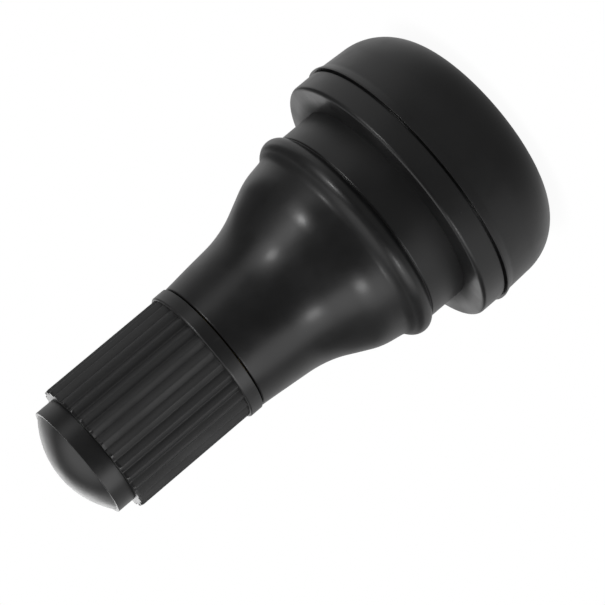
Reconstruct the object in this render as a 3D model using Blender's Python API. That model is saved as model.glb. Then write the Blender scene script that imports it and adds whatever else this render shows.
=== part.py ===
"""Snap-in tyre valve with its screw cap, standing on its rubber head.

The rubber body is moulded round a turned brass stem. A ribbed plastic cap with a
sealing washer screws onto the stem, and a spring-loaded core screws into it.
Every piece is turned about the same upright axis, Z, and the head rests on Z = 0.
"""
import math

import bmesh
import bpy

# Clearances
SEAT_GAP = 0.00005          # faces that rest on each other
RUNNING_GAP = 0.0001        # faces that turn or slide past each other
BOND_GAP = 0.00005          # rubber moulded onto brass

# Rubber head, from its base up to the shoulder that seats on the rim
HEAD_RADIUS = 0.00922
HEAD_HEIGHT = 0.00785
BASE_CORNER_WIDTH = 0.0036
BASE_CORNER_HEIGHT = 0.00375
LIP_RISE = 0.00017
LIP_THICKNESS = 0.00015
LIP_FLARE = 0.00045
LIP_CREASE = 0.0001
BAND_HEIGHT = 0.00185
SHOULDER_EDGE_FILLET = 0.00025

# Recess in the underside of the head
RECESS_RADIUS = 0.0044
RECESS_DEPTH = 0.0047
RECESS_TAPER_DEG = 9.0
RECESS_EDGE_FILLET = 0.0004
RECESS_TOP_FILLET = 0.0003
STEM_COVER = 0.0006

# Neck, bead, bell and sleeve of the rubber, going up from the shoulder
NECK_RADIUS = 0.00735
NECK_LENGTH = 0.00273
NECK_FILLET = 0.0003
BEAD_RISE = 0.00045
BEAD_SECTION_RADIUS = 0.0008
BEAD_END_DEG = 55.0
BEAD_VALLEY_FILLET = 0.0005
BELL_DROP = 0.00067
BELL_CROWN_LENGTH = 0.00322
BELL_SLOPE_LENGTH = 0.0032
BELL_CROWN_FILLET = 0.0056
BELL_FOOT_FILLET = 0.0077
SLEEVE_LENGTH = 0.0054
SLEEVE_TAPER_DEG = 5.5
SLEEVE_WALL = 0.00063
SLEEVE_EDGE_FILLET = 0.00012

# Brass stem
STEM_PROTRUSION = 0.0096
THREAD_RADIUS = 0.00385
THREAD_RELIEF_DEPTH = 0.0005
THREAD_RELIEF_LENGTH = 0.00045
STEM_COLLAR_RISE = 0.0001
STEM_COLLAR_LENGTH = 0.00035
STEM_COLLAR_SUNK_LENGTH = 0.0007
STEM_BODY_RADIUS = 0.0036
STEM_FLANGE_RADIUS = 0.005
STEM_FLANGE_HEIGHT = 0.0008
STEM_BOTTOM_CHAMFER = 0.0003
GRIP_GROOVE_COUNT = 3
GRIP_GROOVE_DEPTH = 0.0003
GRIP_GROOVE_WIDTH = 0.0011
GRIP_GROOVE_PITCH = 0.0022
GRIP_GROOVE_START = 0.0012
STEM_MOUTH_SHARE = 1.0 / 6.0    # of the threaded wall, cut away by the mouth's inner chamfer
STEM_END_SHARE = 1.0 / 2.0      # of the threaded wall, cut away by the end's outer chamfer
LOWER_BORE_RADIUS = 0.0019

# Valve core: threaded plug with a bridge for the key
CORE_THREAD_RADIUS = 0.00255
PLUG_DEPTH = 0.00195
PLUG_RING_HEIGHT = 0.003
PLUG_CAVITY_RADIUS = 0.00195
PLUG_FLOOR = 0.0006
PLUG_EDGE_CHAMFER = 0.0002
BRIDGE_HEIGHT = 0.0015
BRIDGE_WIDTH = 0.002
BRIDGE_INSET = 0.0002
BRIDGE_UNDERCUT = 0.0003
CORE_THREAD_RUNOUT = 0.0003

# Valve core: barrel with its sealing ring
BARREL_NECK_RADIUS = 0.00125
BARREL_FLARE_RISE = 0.00055
BARREL_FLARE_HEIGHT = 0.0005
BARREL_SHOULDER_RADIUS = 0.002
BARREL_SHOULDER_HEIGHT = 0.0011
BARREL_TUBE_RADIUS = 0.0016
BARREL_LENGTH_BELOW_GASKET = 0.0041
BARREL_COLLAR_RADIUS = 0.00178
BARREL_COLLAR_HEIGHT = 0.0004
BARREL_CHAMBER_RADIUS = 0.0013
BARREL_NECK_BORE_RADIUS = 0.0009
BARREL_CHAMBER_COVER = 0.0012
BARREL_FLOOR = 0.0006
BARREL_FLOOR_HOLE_RADIUS = 0.00075
GASKET_LENGTH = 0.002
GASKET_WALL = 0.0005
GASKET_COLLAR_LENGTH = 0.0009
SEAT_CONE_HEIGHT = 0.001
SEAT_CHAMBER_CLEARANCE = 0.0001

# Valve core: pin, spring, cup and the seal in the cup
PIN_RADIUS = 0.000525
PIN_DEPTH = 0.00035
PIN_HEAD_RADIUS = 0.0008
PIN_HEAD_HEIGHT = 0.0005
PIN_HEAD_FILLET = 0.0003
PIN_HOLE_GAP = 0.00009
PIN_COLLAR_RADIUS = 0.0011
PIN_COLLAR_HEIGHT = 0.0005
PIN_COLLAR_COVER = 0.0005
PIN_STAKE_RADIUS = 0.0008
PIN_STAKE_HEIGHT = 0.00045
CUP_RADIUS = 0.0015
CUP_HEIGHT = 0.0018
CUP_WALL = 0.00015
CUP_FLOOR = 0.0003
CUP_PIN_GAP = 0.00004
SEAL_PROUD = 0.00015
SPRING_RADIUS = 0.00095
SPRING_WIRE_RADIUS = 0.000125
SPRING_TURNS = 6.0
SPRING_END_PITCH = 0.00032

# Plastic cap and its washer
CAP_MOUTH_GAP = 0.0001
CAP_THREAD_GAP = 0.0001
CAP_WALL = 0.0005
RIB_COUNT = 32
RIB_DEPTH = 0.0002
RIB_GROOVE_RADIUS = 0.00025
RIB_END_CHAMFER = 0.00015
COLLAR_RISE = 0.00015
COLLAR_HEIGHT = 0.00095
COLLAR_EDGE_FILLET = 0.00008
CAP_LEAD_IN_GAP = 0.0002
CAP_LEAD_IN_DEPTH = 0.0008
RIB_END_ABOVE_STEM = 0.0003
CAP_SEAT_GAP = 0.00007
CROWN_WALL = 0.0006
CROWN_BORE_GAP = 0.0001
CROWN_HEIGHT = 0.0013
CROWN_EDGE_BEVEL = 0.00012
DOME_RISE = 0.00135
CAP_TOP_WALL = 0.00095
CEILING_RISE = 0.00035
CAVITY_GAP = 0.0001
WASHER_HEIGHT = 0.0007
WASHER_WIDTH = 0.0005
WASHER_EDGE_GAP = 0.0001

# Facets
BODY_STEPS = 48
STEM_STEPS = 40
CAP_STEPS = 32
CORE_STEPS = 24
CHORD_ERROR = 0.00002
GROOVE_STEPS = 8
WELD_DISTANCE = 0.0000001
SPRING_POINTS_PER_TURN = 12
SHARP_ANGLE = math.radians(35.0)

# Heights that several pieces share
SHOULDER_Z = HEAD_HEIGHT
CREASE_Z = SHOULDER_Z + NECK_LENGTH
BELL_CROWN_Z = CREASE_Z + BELL_CROWN_LENGTH
BELL_FOOT_Z = BELL_CROWN_Z + BELL_SLOPE_LENGTH
RUBBER_END_Z = BELL_FOOT_Z + SLEEVE_LENGTH
STEM_BOTTOM_Z = RECESS_DEPTH + STEM_COVER
STEM_TOP_Z = RUBBER_END_Z + STEM_PROTRUSION
COLLAR_TOP_Z = RUBBER_END_Z + STEM_COLLAR_LENGTH
PLUG_TOP_Z = STEM_TOP_Z - PLUG_DEPTH
PLUG_RING_TOP_Z = PLUG_TOP_Z - BRIDGE_HEIGHT
PLUG_BOTTOM_Z = PLUG_RING_TOP_Z - PLUG_RING_HEIGHT
BARREL_SHOULDER_TOP_Z = PLUG_BOTTOM_Z - RUNNING_GAP
GASKET_SEAT_TOP_Z = BARREL_SHOULDER_TOP_Z - BARREL_SHOULDER_HEIGHT
GASKET_SEAT_BOTTOM_Z = GASKET_SEAT_TOP_Z - GASKET_LENGTH
BARREL_BOTTOM_Z = GASKET_SEAT_BOTTOM_Z - BARREL_LENGTH_BELOW_GASKET
CHAMBER_BOTTOM_Z = BARREL_BOTTOM_Z + BARREL_FLOOR
CHAMBER_TOP_Z = BARREL_SHOULDER_TOP_Z - BARREL_CHAMBER_COVER
PIN_COLLAR_TOP_Z = CHAMBER_TOP_Z - PIN_COLLAR_COVER
PIN_COLLAR_BOTTOM_Z = PIN_COLLAR_TOP_Z - PIN_COLLAR_HEIGHT
SEAL_TOP_Z = BARREL_BOTTOM_Z - SEAT_GAP
CUP_TOP_Z = SEAL_TOP_Z - SEAL_PROUD
CUP_BOTTOM_Z = CUP_TOP_Z - CUP_HEIGHT
CAP_MOUTH_Z = RUBBER_END_Z + CAP_MOUTH_GAP
RIB_END_Z = STEM_TOP_Z + RIB_END_ABOVE_STEM
CROWN_RIM_Z = RIB_END_Z + CROWN_HEIGHT
CAP_TIP_Z = CROWN_RIM_Z + DOME_RISE

# Radii that several pieces share
STEM_COLLAR_RADIUS = THREAD_RADIUS + STEM_COLLAR_RISE
CORE_BORE_RADIUS = CORE_THREAD_RADIUS + RUNNING_GAP
THREADED_WALL = THREAD_RADIUS - CORE_BORE_RADIUS
MOUTH_RADIUS = CORE_BORE_RADIUS + STEM_MOUTH_SHARE * THREADED_WALL
RIM_RADIUS = THREAD_RADIUS - STEM_END_SHARE * THREADED_WALL
BARREL_SEAT_RADIUS = BARREL_TUBE_RADIUS + SEAT_GAP
GASKET_INNER_RADIUS = BARREL_SEAT_RADIUS + SEAT_GAP
GASKET_RADIUS = GASKET_INNER_RADIUS + GASKET_WALL
SEAT_CHAMBER_RADIUS = GASKET_RADIUS + SEAT_CHAMBER_CLEARANCE
CAP_BORE_RADIUS = THREAD_RADIUS + CAP_THREAD_GAP
RIB_VALLEY_RADIUS = CAP_BORE_RADIUS + CAP_WALL
RIB_CREST_RADIUS = RIB_VALLEY_RADIUS + RIB_DEPTH
WASHER_INNER_RADIUS = MOUTH_RADIUS - WASHER_EDGE_GAP
WASHER_RADIUS = WASHER_INNER_RADIUS + WASHER_WIDTH
CROWN_BORE_RADIUS = WASHER_RADIUS + CROWN_BORE_GAP
CROWN_RADIUS = CROWN_BORE_RADIUS + CROWN_WALL

# The cone in the stem's bore that the core's sealing ring sits on
SEAT_CONE_TOP_Z = GASKET_SEAT_TOP_Z - GASKET_COLLAR_LENGTH
SEAT_CONE_BOTTOM_Z = SEAT_CONE_TOP_Z - SEAT_CONE_HEIGHT


def clear_scene():
    for thing in list(bpy.data.objects):
        bpy.data.objects.remove(thing, do_unlink=True)


def material(name, colour, roughness, metallic):
    made = bpy.data.materials.new(name)
    made.use_nodes = True
    shader = made.node_tree.nodes["Principled BSDF"]
    shader.inputs["Base Color"].default_value = (*colour, 1.0)
    shader.inputs["Roughness"].default_value = roughness
    shader.inputs["Metallic"].default_value = metallic
    return made


def arc(centre_r, centre_z, radius_r, radius_z, start_deg, end_deg):
    """Points (radius, height) along an elliptical arc, both ends included.

    There are as many as keep each chord within the chord error of the curve.
    """
    step_deg = 2.0 * math.degrees(math.acos(1.0 - min(1.0, CHORD_ERROR / max(radius_r, radius_z))))
    steps = max(2, math.ceil(abs(end_deg - start_deg) / step_deg))
    points = []
    for step in range(steps + 1):
        angle = math.radians(start_deg + (end_deg - start_deg) * step / steps)
        points.append((centre_r + radius_r * math.cos(angle), centre_z + radius_z * math.sin(angle)))
    return points


def sharp(points):
    """Corners without a fillet."""
    return [(r, z, 0.0) for r, z in points]


def turning_angle(before, corner, after):
    """How far the outline turns at a corner, with its sign."""
    heading_in = math.atan2(corner[1] - before[1], corner[0] - before[0])
    heading_out = math.atan2(after[1] - corner[1], after[0] - corner[0])
    return math.remainder(heading_out - heading_in, math.tau)


def filleted(corners):
    """A closed outline of (radius, height) points from (radius, height, fillet) corners.

    Neighbouring fillets that are too long for the line between them share it in
    proportion to their tangent lengths.
    """
    count = len(corners)
    turns = [turning_angle(corners[i - 1], corners[i], corners[(i + 1) % count]) for i in range(count)]
    tangents = [corners[i][2] * abs(math.tan(turns[i] / 2.0)) for i in range(count)]
    points = []
    for i, (r, z, fillet) in enumerate(corners):
        if tangents[i] <= 0.0:
            points.append((r, z))
            continue
        share = 1.0
        for other in (i - 1, (i + 1) % count):
            length = math.dist((r, z), corners[other][:2])
            share = min(share, length / (tangents[i] + tangents[other]))
        radius = fillet * share
        tangent = tangents[i] * share
        before = corners[i - 1]
        heading = math.atan2(z - before[1], r - before[0])
        side = math.copysign(1.0, turns[i])
        start_r = r - tangent * math.cos(heading)
        start_z = z - tangent * math.sin(heading)
        centre_r = start_r - side * radius * math.sin(heading)
        centre_z = start_z + side * radius * math.cos(heading)
        start_deg = math.degrees(heading) - side * 90.0
        end_deg = start_deg + math.degrees(turns[i])
        points += arc(centre_r, centre_z, radius, radius, start_deg, end_deg)
    return points


def without_repeats(points):
    """The outline with points that fall on their predecessor left out."""
    kept = []
    for point in points:
        if not kept or math.dist(point, kept[-1]) > 10.0 * WELD_DISTANCE:
            kept.append(point)
    if math.dist(kept[0], kept[-1]) <= 10.0 * WELD_DISTANCE:
        kept.pop()
    return kept


def turned_mesh(name, outline, steps):
    """A closed mesh spun about Z from an outline of (radius, height) points.

    An outline that starts and ends on the axis stays open there, any other is a ring.
    """
    points = without_repeats(outline)
    shape = bmesh.new()
    vertices = [shape.verts.new((r, 0.0, z)) for r, z in points]
    edges = [shape.edges.new(pair) for pair in zip(vertices, vertices[1:])]
    meets_axis = points[0][0] == 0.0 and points[-1][0] == 0.0
    if not meets_axis:
        edges.append(shape.edges.new((vertices[-1], vertices[0])))
    bmesh.ops.spin(
        shape, geom=vertices + edges, cent=(0.0, 0.0, 0.0), axis=(0.0, 0.0, 1.0),
        angle=math.tau, steps=steps, use_merge=True,
    )
    bmesh.ops.remove_doubles(shape, verts=shape.verts, dist=WELD_DISTANCE)
    bmesh.ops.recalc_face_normals(shape, faces=shape.faces)
    mesh = bpy.data.meshes.new(name)
    shape.to_mesh(mesh)
    shape.free()
    mesh.shade_smooth()
    mesh.set_sharp_from_angle(angle=SHARP_ANGLE)
    return mesh


def add_object(name, data, finish, parent=None):
    made = bpy.data.objects.new(name, data)
    bpy.context.scene.collection.objects.link(made)
    if finish:
        data.materials.append(finish)
    made.parent = parent
    return made


def turned(name, outline, steps, finish=None, parent=None):
    return add_object(name, turned_mesh(name, outline, steps), finish, parent)


def axis_empty(name, parent=None):
    """An empty on the valve's axis that carries what moves along or about it."""
    made = bpy.data.objects.new(name, None)
    bpy.context.scene.collection.objects.link(made)
    made.parent = parent
    return made


def cut(target, cutter):
    cutter.hide_render = True
    cutter.display_type = "WIRE"
    cutter.parent = target.parent
    boolean = target.modifiers.new(cutter.name, "BOOLEAN")
    boolean.operation = "DIFFERENCE"
    boolean.solver = "EXACT"
    boolean.object = cutter


def grip_outline(gap):
    """The stem's outer skin inside the rubber, from the flange's edge up to the collar, grown by gap."""
    flange_top = STEM_BOTTOM_Z + STEM_FLANGE_HEIGHT
    flare = STEM_FLANGE_RADIUS - STEM_BODY_RADIUS
    body = STEM_BODY_RADIUS + gap
    points = [(STEM_FLANGE_RADIUS + gap, flange_top), (body, flange_top + flare)]
    for index in range(GRIP_GROOVE_COUNT):
        low = flange_top + flare + GRIP_GROOVE_START + index * GRIP_GROOVE_PITCH
        high = low + GRIP_GROOVE_WIDTH
        points += [
            (body, low),
            (body - GRIP_GROOVE_DEPTH, low + GRIP_GROOVE_DEPTH),
            (body - GRIP_GROOVE_DEPTH, high - GRIP_GROOVE_DEPTH),
            (body, high),
        ]
    collar_step = abs(STEM_COLLAR_RADIUS - STEM_BODY_RADIUS)
    collar_low = RUBBER_END_Z - STEM_COLLAR_SUNK_LENGTH
    points += [(body, collar_low - collar_step), (STEM_COLLAR_RADIUS + gap, collar_low)]
    return points


def head_corners():
    """The head's outside, from the flat ring it stands on up to the foot of the neck."""
    lip_top = SHOULDER_Z - BAND_HEIGHT
    lip_radius = HEAD_RADIUS + LIP_RISE
    crease_radius = HEAD_RADIUS - LIP_CREASE
    base = arc(
        HEAD_RADIUS - BASE_CORNER_WIDTH, BASE_CORNER_HEIGHT, BASE_CORNER_WIDTH, BASE_CORNER_HEIGHT,
        -90.0, 0.0,
    )
    return sharp(base) + [
        (HEAD_RADIUS, lip_top - LIP_THICKNESS - LIP_FLARE, 0.0),
        (lip_radius, lip_top - LIP_THICKNESS, 0.0),
        (lip_radius, lip_top, 0.0),
        (crease_radius, lip_top, 0.0),
        (crease_radius, lip_top + LIP_CREASE, 0.0),
        (HEAD_RADIUS, lip_top + 2.0 * LIP_CREASE, 0.0),
        (HEAD_RADIUS, SHOULDER_Z, SHOULDER_EDGE_FILLET),
        (NECK_RADIUS, SHOULDER_Z, NECK_FILLET),
    ]


def bell_corners():
    """The rubber above the neck: a rounded bead, then a bell that runs out into a sleeve."""
    crest = NECK_RADIUS + BEAD_RISE
    centre_r = crest - BEAD_SECTION_RADIUS
    start = -math.acos((NECK_RADIUS - centre_r) / BEAD_SECTION_RADIUS)
    centre_z = CREASE_Z - BEAD_SECTION_RADIUS * math.sin(start)
    bead = arc(
        centre_r, centre_z, BEAD_SECTION_RADIUS, BEAD_SECTION_RADIUS,
        math.degrees(start), BEAD_END_DEG,
    )
    end_r, end_z = bead[-1]
    bell_radius = crest - BELL_DROP
    valley_z = end_z + (end_r - bell_radius) / math.tan(math.radians(BEAD_END_DEG))
    end_radius = STEM_COLLAR_RADIUS + BOND_GAP + SLEEVE_WALL
    foot_radius = end_radius + SLEEVE_LENGTH * math.tan(math.radians(SLEEVE_TAPER_DEG))
    return sharp(bead) + [
        (bell_radius, valley_z, BEAD_VALLEY_FILLET),
        (bell_radius, BELL_CROWN_Z, BELL_CROWN_FILLET),
        (foot_radius, BELL_FOOT_Z, BELL_FOOT_FILLET),
        (end_radius, RUBBER_END_Z, SLEEVE_EDGE_FILLET),
    ]


def rubber_body(finish):
    """Head, neck, bead, bell and sleeve in one moulding, with the stem's shape inside."""
    recess_top_radius = RECESS_RADIUS - RECESS_DEPTH * math.tan(math.radians(RECESS_TAPER_DEG))
    hole_radius = LOWER_BORE_RADIUS + STEM_BOTTOM_CHAMFER + RUNNING_GAP
    stem_side = sharp(reversed(grip_outline(BOND_GAP)))
    corners = head_corners() + bell_corners()
    corners += [(STEM_COLLAR_RADIUS + BOND_GAP, RUBBER_END_Z, 0.0)] + stem_side
    corners += [
        (STEM_FLANGE_RADIUS + BOND_GAP, STEM_BOTTOM_Z - BOND_GAP, 0.0),
        (hole_radius, STEM_BOTTOM_Z - BOND_GAP, 0.0),
        (hole_radius, RECESS_DEPTH, 0.0),
        (recess_top_radius, RECESS_DEPTH, RECESS_TOP_FILLET),
        (RECESS_RADIUS, 0.0, RECESS_EDGE_FILLET),
    ]
    return turned("rubber_body", filleted(corners), BODY_STEPS, finish)


def brass_stem(finish):
    """A turned tube: flanged and grooved where the rubber grips it, threaded outside and inside."""
    relief_radius = THREAD_RADIUS - THREAD_RELIEF_DEPTH
    relief_top = COLLAR_TOP_Z + THREAD_RELIEF_LENGTH
    outline = [
        (LOWER_BORE_RADIUS, STEM_BOTTOM_Z + STEM_BOTTOM_CHAMFER),
        (LOWER_BORE_RADIUS + STEM_BOTTOM_CHAMFER, STEM_BOTTOM_Z),
        (STEM_FLANGE_RADIUS, STEM_BOTTOM_Z),
    ]
    outline += grip_outline(0.0)
    outline += [
        (STEM_COLLAR_RADIUS, COLLAR_TOP_Z),
        (relief_radius, COLLAR_TOP_Z),
        (relief_radius, relief_top),
        (THREAD_RADIUS, relief_top + THREAD_RELIEF_DEPTH),
        (THREAD_RADIUS, STEM_TOP_Z - (THREAD_RADIUS - RIM_RADIUS)),
        (RIM_RADIUS, STEM_TOP_Z),
        (MOUTH_RADIUS, STEM_TOP_Z),
        (CORE_BORE_RADIUS, STEM_TOP_Z - (MOUTH_RADIUS - CORE_BORE_RADIUS)),
        (CORE_BORE_RADIUS, PLUG_BOTTOM_Z - CORE_THREAD_RUNOUT),
        (SEAT_CHAMBER_RADIUS, PLUG_BOTTOM_Z - CORE_THREAD_RUNOUT),
        (SEAT_CHAMBER_RADIUS, SEAT_CONE_TOP_Z),
        (LOWER_BORE_RADIUS, SEAT_CONE_BOTTOM_Z),
    ]
    return turned("brass_stem", outline, STEM_STEPS, finish)


def rib_groove_cutter():
    """Round-bottomed grooves, evenly spaced about the axis, that leave the cap's ribs between them."""
    low = CAP_MOUTH_Z + COLLAR_HEIGHT
    high = RIB_END_Z + COLLAR_HEIGHT
    centre = RIB_VALLEY_RADIUS + RIB_GROOVE_RADIUS
    shape = bmesh.new()
    for index in range(RIB_COUNT):
        angle = math.tau * index / RIB_COUNT
        groove = bmesh.ops.create_cone(
            shape, cap_ends=True, cap_tris=False, segments=GROOVE_STEPS,
            radius1=RIB_GROOVE_RADIUS, radius2=RIB_GROOVE_RADIUS, depth=high - low,
        )
        place = (centre * math.cos(angle), centre * math.sin(angle), (low + high) / 2.0)
        bmesh.ops.translate(shape, verts=groove["verts"], vec=place)
    mesh = bpy.data.meshes.new("rib_groove_cutter")
    shape.to_mesh(mesh)
    shape.free()
    return add_object("rib_groove_cutter", mesh, None)


def valve_cap(finish, parent):
    """The cap: collar, ribbed skirt, stepped crown and dome, hollow to clear the stem."""
    collar_radius = RIB_CREST_RADIUS + COLLAR_RISE
    collar_top = CAP_MOUTH_Z + COLLAR_HEIGHT
    lead_in_radius = STEM_COLLAR_RADIUS + CAP_LEAD_IN_GAP
    lead_in_top = CAP_MOUTH_Z + CAP_LEAD_IN_DEPTH
    seat_shift = CAP_SEAT_GAP * math.sqrt(2.0)
    seat_low = STEM_TOP_Z - (THREAD_RADIUS - RIM_RADIUS) - CAP_THREAD_GAP + seat_shift
    seat_high = seat_low + CAP_BORE_RADIUS - CROWN_BORE_RADIUS
    dome_radius = CROWN_RADIUS - CROWN_EDGE_BEVEL
    ledge_z = STEM_TOP_Z + SEAT_GAP + WASHER_HEIGHT + SEAT_GAP
    cavity_radius = WASHER_INNER_RADIUS - CAVITY_GAP
    ceiling_z = CAP_TIP_Z - CAP_TOP_WALL
    corners = [
        (collar_radius, CAP_MOUTH_Z, COLLAR_EDGE_FILLET),
        (lead_in_radius, CAP_MOUTH_Z, 0.0),
        (lead_in_radius, lead_in_top, 0.0),
        (CAP_BORE_RADIUS, lead_in_top + lead_in_radius - CAP_BORE_RADIUS, 0.0),
        (CAP_BORE_RADIUS, seat_low, 0.0),
        (CROWN_BORE_RADIUS, seat_high, 0.0),
        (CROWN_BORE_RADIUS, ledge_z, 0.0),
        (cavity_radius, ledge_z, 0.0),
    ]
    corners += sharp(reversed(dome_points(ceiling_z, cavity_radius, CEILING_RISE)))
    corners += [(0.0, ceiling_z, 0.0), (0.0, CAP_TIP_Z, 0.0)]
    corners += sharp(dome_points(CAP_TIP_Z, dome_radius, DOME_RISE))
    corners += [
        (CROWN_RADIUS, CROWN_RIM_Z - CROWN_EDGE_BEVEL, 0.0),
        (CROWN_RADIUS, RIB_END_Z, 0.0),
        (RIB_CREST_RADIUS - RIB_END_CHAMFER, RIB_END_Z, 0.0),
        (RIB_CREST_RADIUS, RIB_END_Z - RIB_END_CHAMFER, 0.0),
        (RIB_CREST_RADIUS, collar_top, 0.0),
        (collar_radius, collar_top, COLLAR_EDGE_FILLET),
    ]
    points = filleted(corners)
    axis_at = points.index((0.0, CAP_TIP_Z))
    open_outline = points[axis_at:] + points[:axis_at]
    cap = turned("valve_cap", open_outline, CAP_STEPS, finish, parent)
    cut(cap, rib_groove_cutter())
    return cap


def dome_points(tip_z, edge_radius, rise):
    """A slice of a sphere, from just below its tip down to its edge."""
    sphere = (edge_radius ** 2 + rise ** 2) / (2.0 * rise)
    half = math.degrees(math.asin(edge_radius / sphere))
    return arc(0.0, tip_z - sphere, sphere, sphere, 90.0, 90.0 - half)[1:]


def cap_washer(finish, parent):
    """The rubber ring that the closed cap presses on the stem's mouth."""
    low = STEM_TOP_Z + SEAT_GAP
    high = low + WASHER_HEIGHT
    inner = WASHER_INNER_RADIUS
    outline = [(WASHER_RADIUS, high), (WASHER_RADIUS, low), (inner, low), (inner, high)]
    return turned("cap_washer", outline, CORE_STEPS, finish, parent)


def core_plug(finish, parent):
    """The threaded plug, cut on both sides to leave a bridge that a key grips."""
    bridge_radius = CORE_THREAD_RADIUS - BRIDGE_INSET
    floor_hole = BARREL_NECK_RADIUS + RUNNING_GAP
    cavity_low = PLUG_BOTTOM_Z + PLUG_FLOOR
    cavity_high = PLUG_RING_TOP_Z + BRIDGE_UNDERCUT
    pin_hole = PIN_RADIUS + PIN_HOLE_GAP
    outline = [
        (pin_hole, PLUG_TOP_Z),
        (bridge_radius - PLUG_EDGE_CHAMFER, PLUG_TOP_Z),
        (bridge_radius, PLUG_TOP_Z - PLUG_EDGE_CHAMFER),
        (bridge_radius, PLUG_RING_TOP_Z),
        (CORE_THREAD_RADIUS - PLUG_EDGE_CHAMFER, PLUG_RING_TOP_Z),
        (CORE_THREAD_RADIUS, PLUG_RING_TOP_Z - PLUG_EDGE_CHAMFER),
        (CORE_THREAD_RADIUS, PLUG_BOTTOM_Z + PLUG_EDGE_CHAMFER),
        (CORE_THREAD_RADIUS - PLUG_EDGE_CHAMFER, PLUG_BOTTOM_Z),
        (floor_hole, PLUG_BOTTOM_Z),
        (floor_hole, cavity_low),
        (PLUG_CAVITY_RADIUS, cavity_low),
        (PLUG_CAVITY_RADIUS, cavity_high),
        (pin_hole, cavity_high),
    ]
    plug = turned("core_plug", outline, CORE_STEPS, finish, parent)
    for side, name in ((1.0, "bridge_cutter_front"), (-1.0, "bridge_cutter_back")):
        cut(plug, bridge_cutter(name, side))
    return plug


def bridge_cutter(name, side):
    """A block that takes away the plug above its ring on one side of the bridge."""
    reach = 2.0 * CORE_THREAD_RADIUS
    shape = bmesh.new()
    block = bmesh.ops.create_cube(shape, size=1.0)
    bmesh.ops.scale(shape, verts=block["verts"], vec=(2.0 * reach, reach, reach))
    place = (0.0, side * (BRIDGE_WIDTH + reach) / 2.0, PLUG_RING_TOP_Z + reach / 2.0)
    bmesh.ops.translate(shape, verts=block["verts"], vec=place)
    mesh = bpy.data.meshes.new(name)
    shape.to_mesh(mesh)
    shape.free()
    return add_object(name, mesh, None)


def core_barrel(finish, parent):
    """The barrel: a flared neck that swivels in the plug, a seat for the ring, a spring chamber."""
    flare_low = PLUG_BOTTOM_Z + PLUG_FLOOR + RUNNING_GAP
    flare_high = flare_low + BARREL_FLARE_HEIGHT
    flare_radius = BARREL_NECK_RADIUS + BARREL_FLARE_RISE
    outline = [
        (BARREL_NECK_BORE_RADIUS, flare_high),
        (BARREL_NECK_RADIUS, flare_high),
        (flare_radius, flare_low + BARREL_FLARE_HEIGHT / 2.0),
        (flare_radius, flare_low),
        (BARREL_NECK_RADIUS, flare_low),
        (BARREL_NECK_RADIUS, BARREL_SHOULDER_TOP_Z),
        (BARREL_SHOULDER_RADIUS, BARREL_SHOULDER_TOP_Z),
        (BARREL_SHOULDER_RADIUS, GASKET_SEAT_TOP_Z),
        (BARREL_SEAT_RADIUS, GASKET_SEAT_TOP_Z),
        (BARREL_SEAT_RADIUS, GASKET_SEAT_BOTTOM_Z),
        (BARREL_COLLAR_RADIUS, GASKET_SEAT_BOTTOM_Z),
        (BARREL_COLLAR_RADIUS, GASKET_SEAT_BOTTOM_Z - BARREL_COLLAR_HEIGHT),
        (BARREL_TUBE_RADIUS, GASKET_SEAT_BOTTOM_Z - BARREL_COLLAR_HEIGHT),
        (BARREL_TUBE_RADIUS, BARREL_BOTTOM_Z),
        (BARREL_FLOOR_HOLE_RADIUS, BARREL_BOTTOM_Z),
        (BARREL_FLOOR_HOLE_RADIUS, CHAMBER_BOTTOM_Z),
        (BARREL_CHAMBER_RADIUS, CHAMBER_BOTTOM_Z),
        (BARREL_CHAMBER_RADIUS, CHAMBER_TOP_Z),
        (BARREL_NECK_BORE_RADIUS, CHAMBER_TOP_Z),
    ]
    return turned("core_barrel", outline, CORE_STEPS, finish, parent)


def core_gasket(finish, parent):
    """The sealing ring on the barrel: a short cylinder over a cone that matches the stem's seat."""
    top = GASKET_SEAT_TOP_Z - SEAT_GAP
    bottom = GASKET_SEAT_BOTTOM_Z + SEAT_GAP
    slope = (SEAT_CHAMBER_RADIUS - LOWER_BORE_RADIUS) / SEAT_CONE_HEIGHT
    slant = math.hypot(1.0, slope)
    cone_offset = SEAT_GAP * slant
    cone_high = SEAT_CONE_TOP_Z - (SEAT_CHAMBER_RADIUS - cone_offset - GASKET_RADIUS) / slope
    tip_radius = LOWER_BORE_RADIUS - cone_offset
    outline = [
        (GASKET_RADIUS, top),
        (GASKET_RADIUS, cone_high),
        (tip_radius, SEAT_CONE_BOTTOM_Z),
        (tip_radius, bottom),
        (GASKET_INNER_RADIUS, bottom),
        (GASKET_INNER_RADIUS, top),
    ]
    return turned("core_gasket", outline, CORE_STEPS, finish, parent)


def core_pin(finish, parent):
    """The pin: round head at the stem's mouth, a collar for the spring, a staked foot below the cup."""
    top = STEM_TOP_Z - PIN_DEPTH
    head_bottom = top - PIN_HEAD_HEIGHT
    stake_top = CUP_BOTTOM_Z - SEAT_GAP
    foot = stake_top - PIN_STAKE_HEIGHT
    corners = [
        (0.0, top, 0.0),
        (PIN_HEAD_RADIUS, top, PIN_HEAD_FILLET),
        (PIN_HEAD_RADIUS, head_bottom, 0.0),
        (PIN_RADIUS, head_bottom, 0.0),
        (PIN_RADIUS, PIN_COLLAR_TOP_Z, 0.0),
        (PIN_COLLAR_RADIUS, PIN_COLLAR_TOP_Z, 0.0),
        (PIN_COLLAR_RADIUS, PIN_COLLAR_BOTTOM_Z, 0.0),
        (PIN_RADIUS, PIN_COLLAR_BOTTOM_Z, 0.0),
        (PIN_RADIUS, stake_top, 0.0),
        (PIN_STAKE_RADIUS, stake_top, 0.0),
        (PIN_RADIUS, foot, 0.0),
        (0.0, foot, 0.0),
    ]
    return turned("core_pin", filleted(corners), CORE_STEPS, finish, parent)


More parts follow.
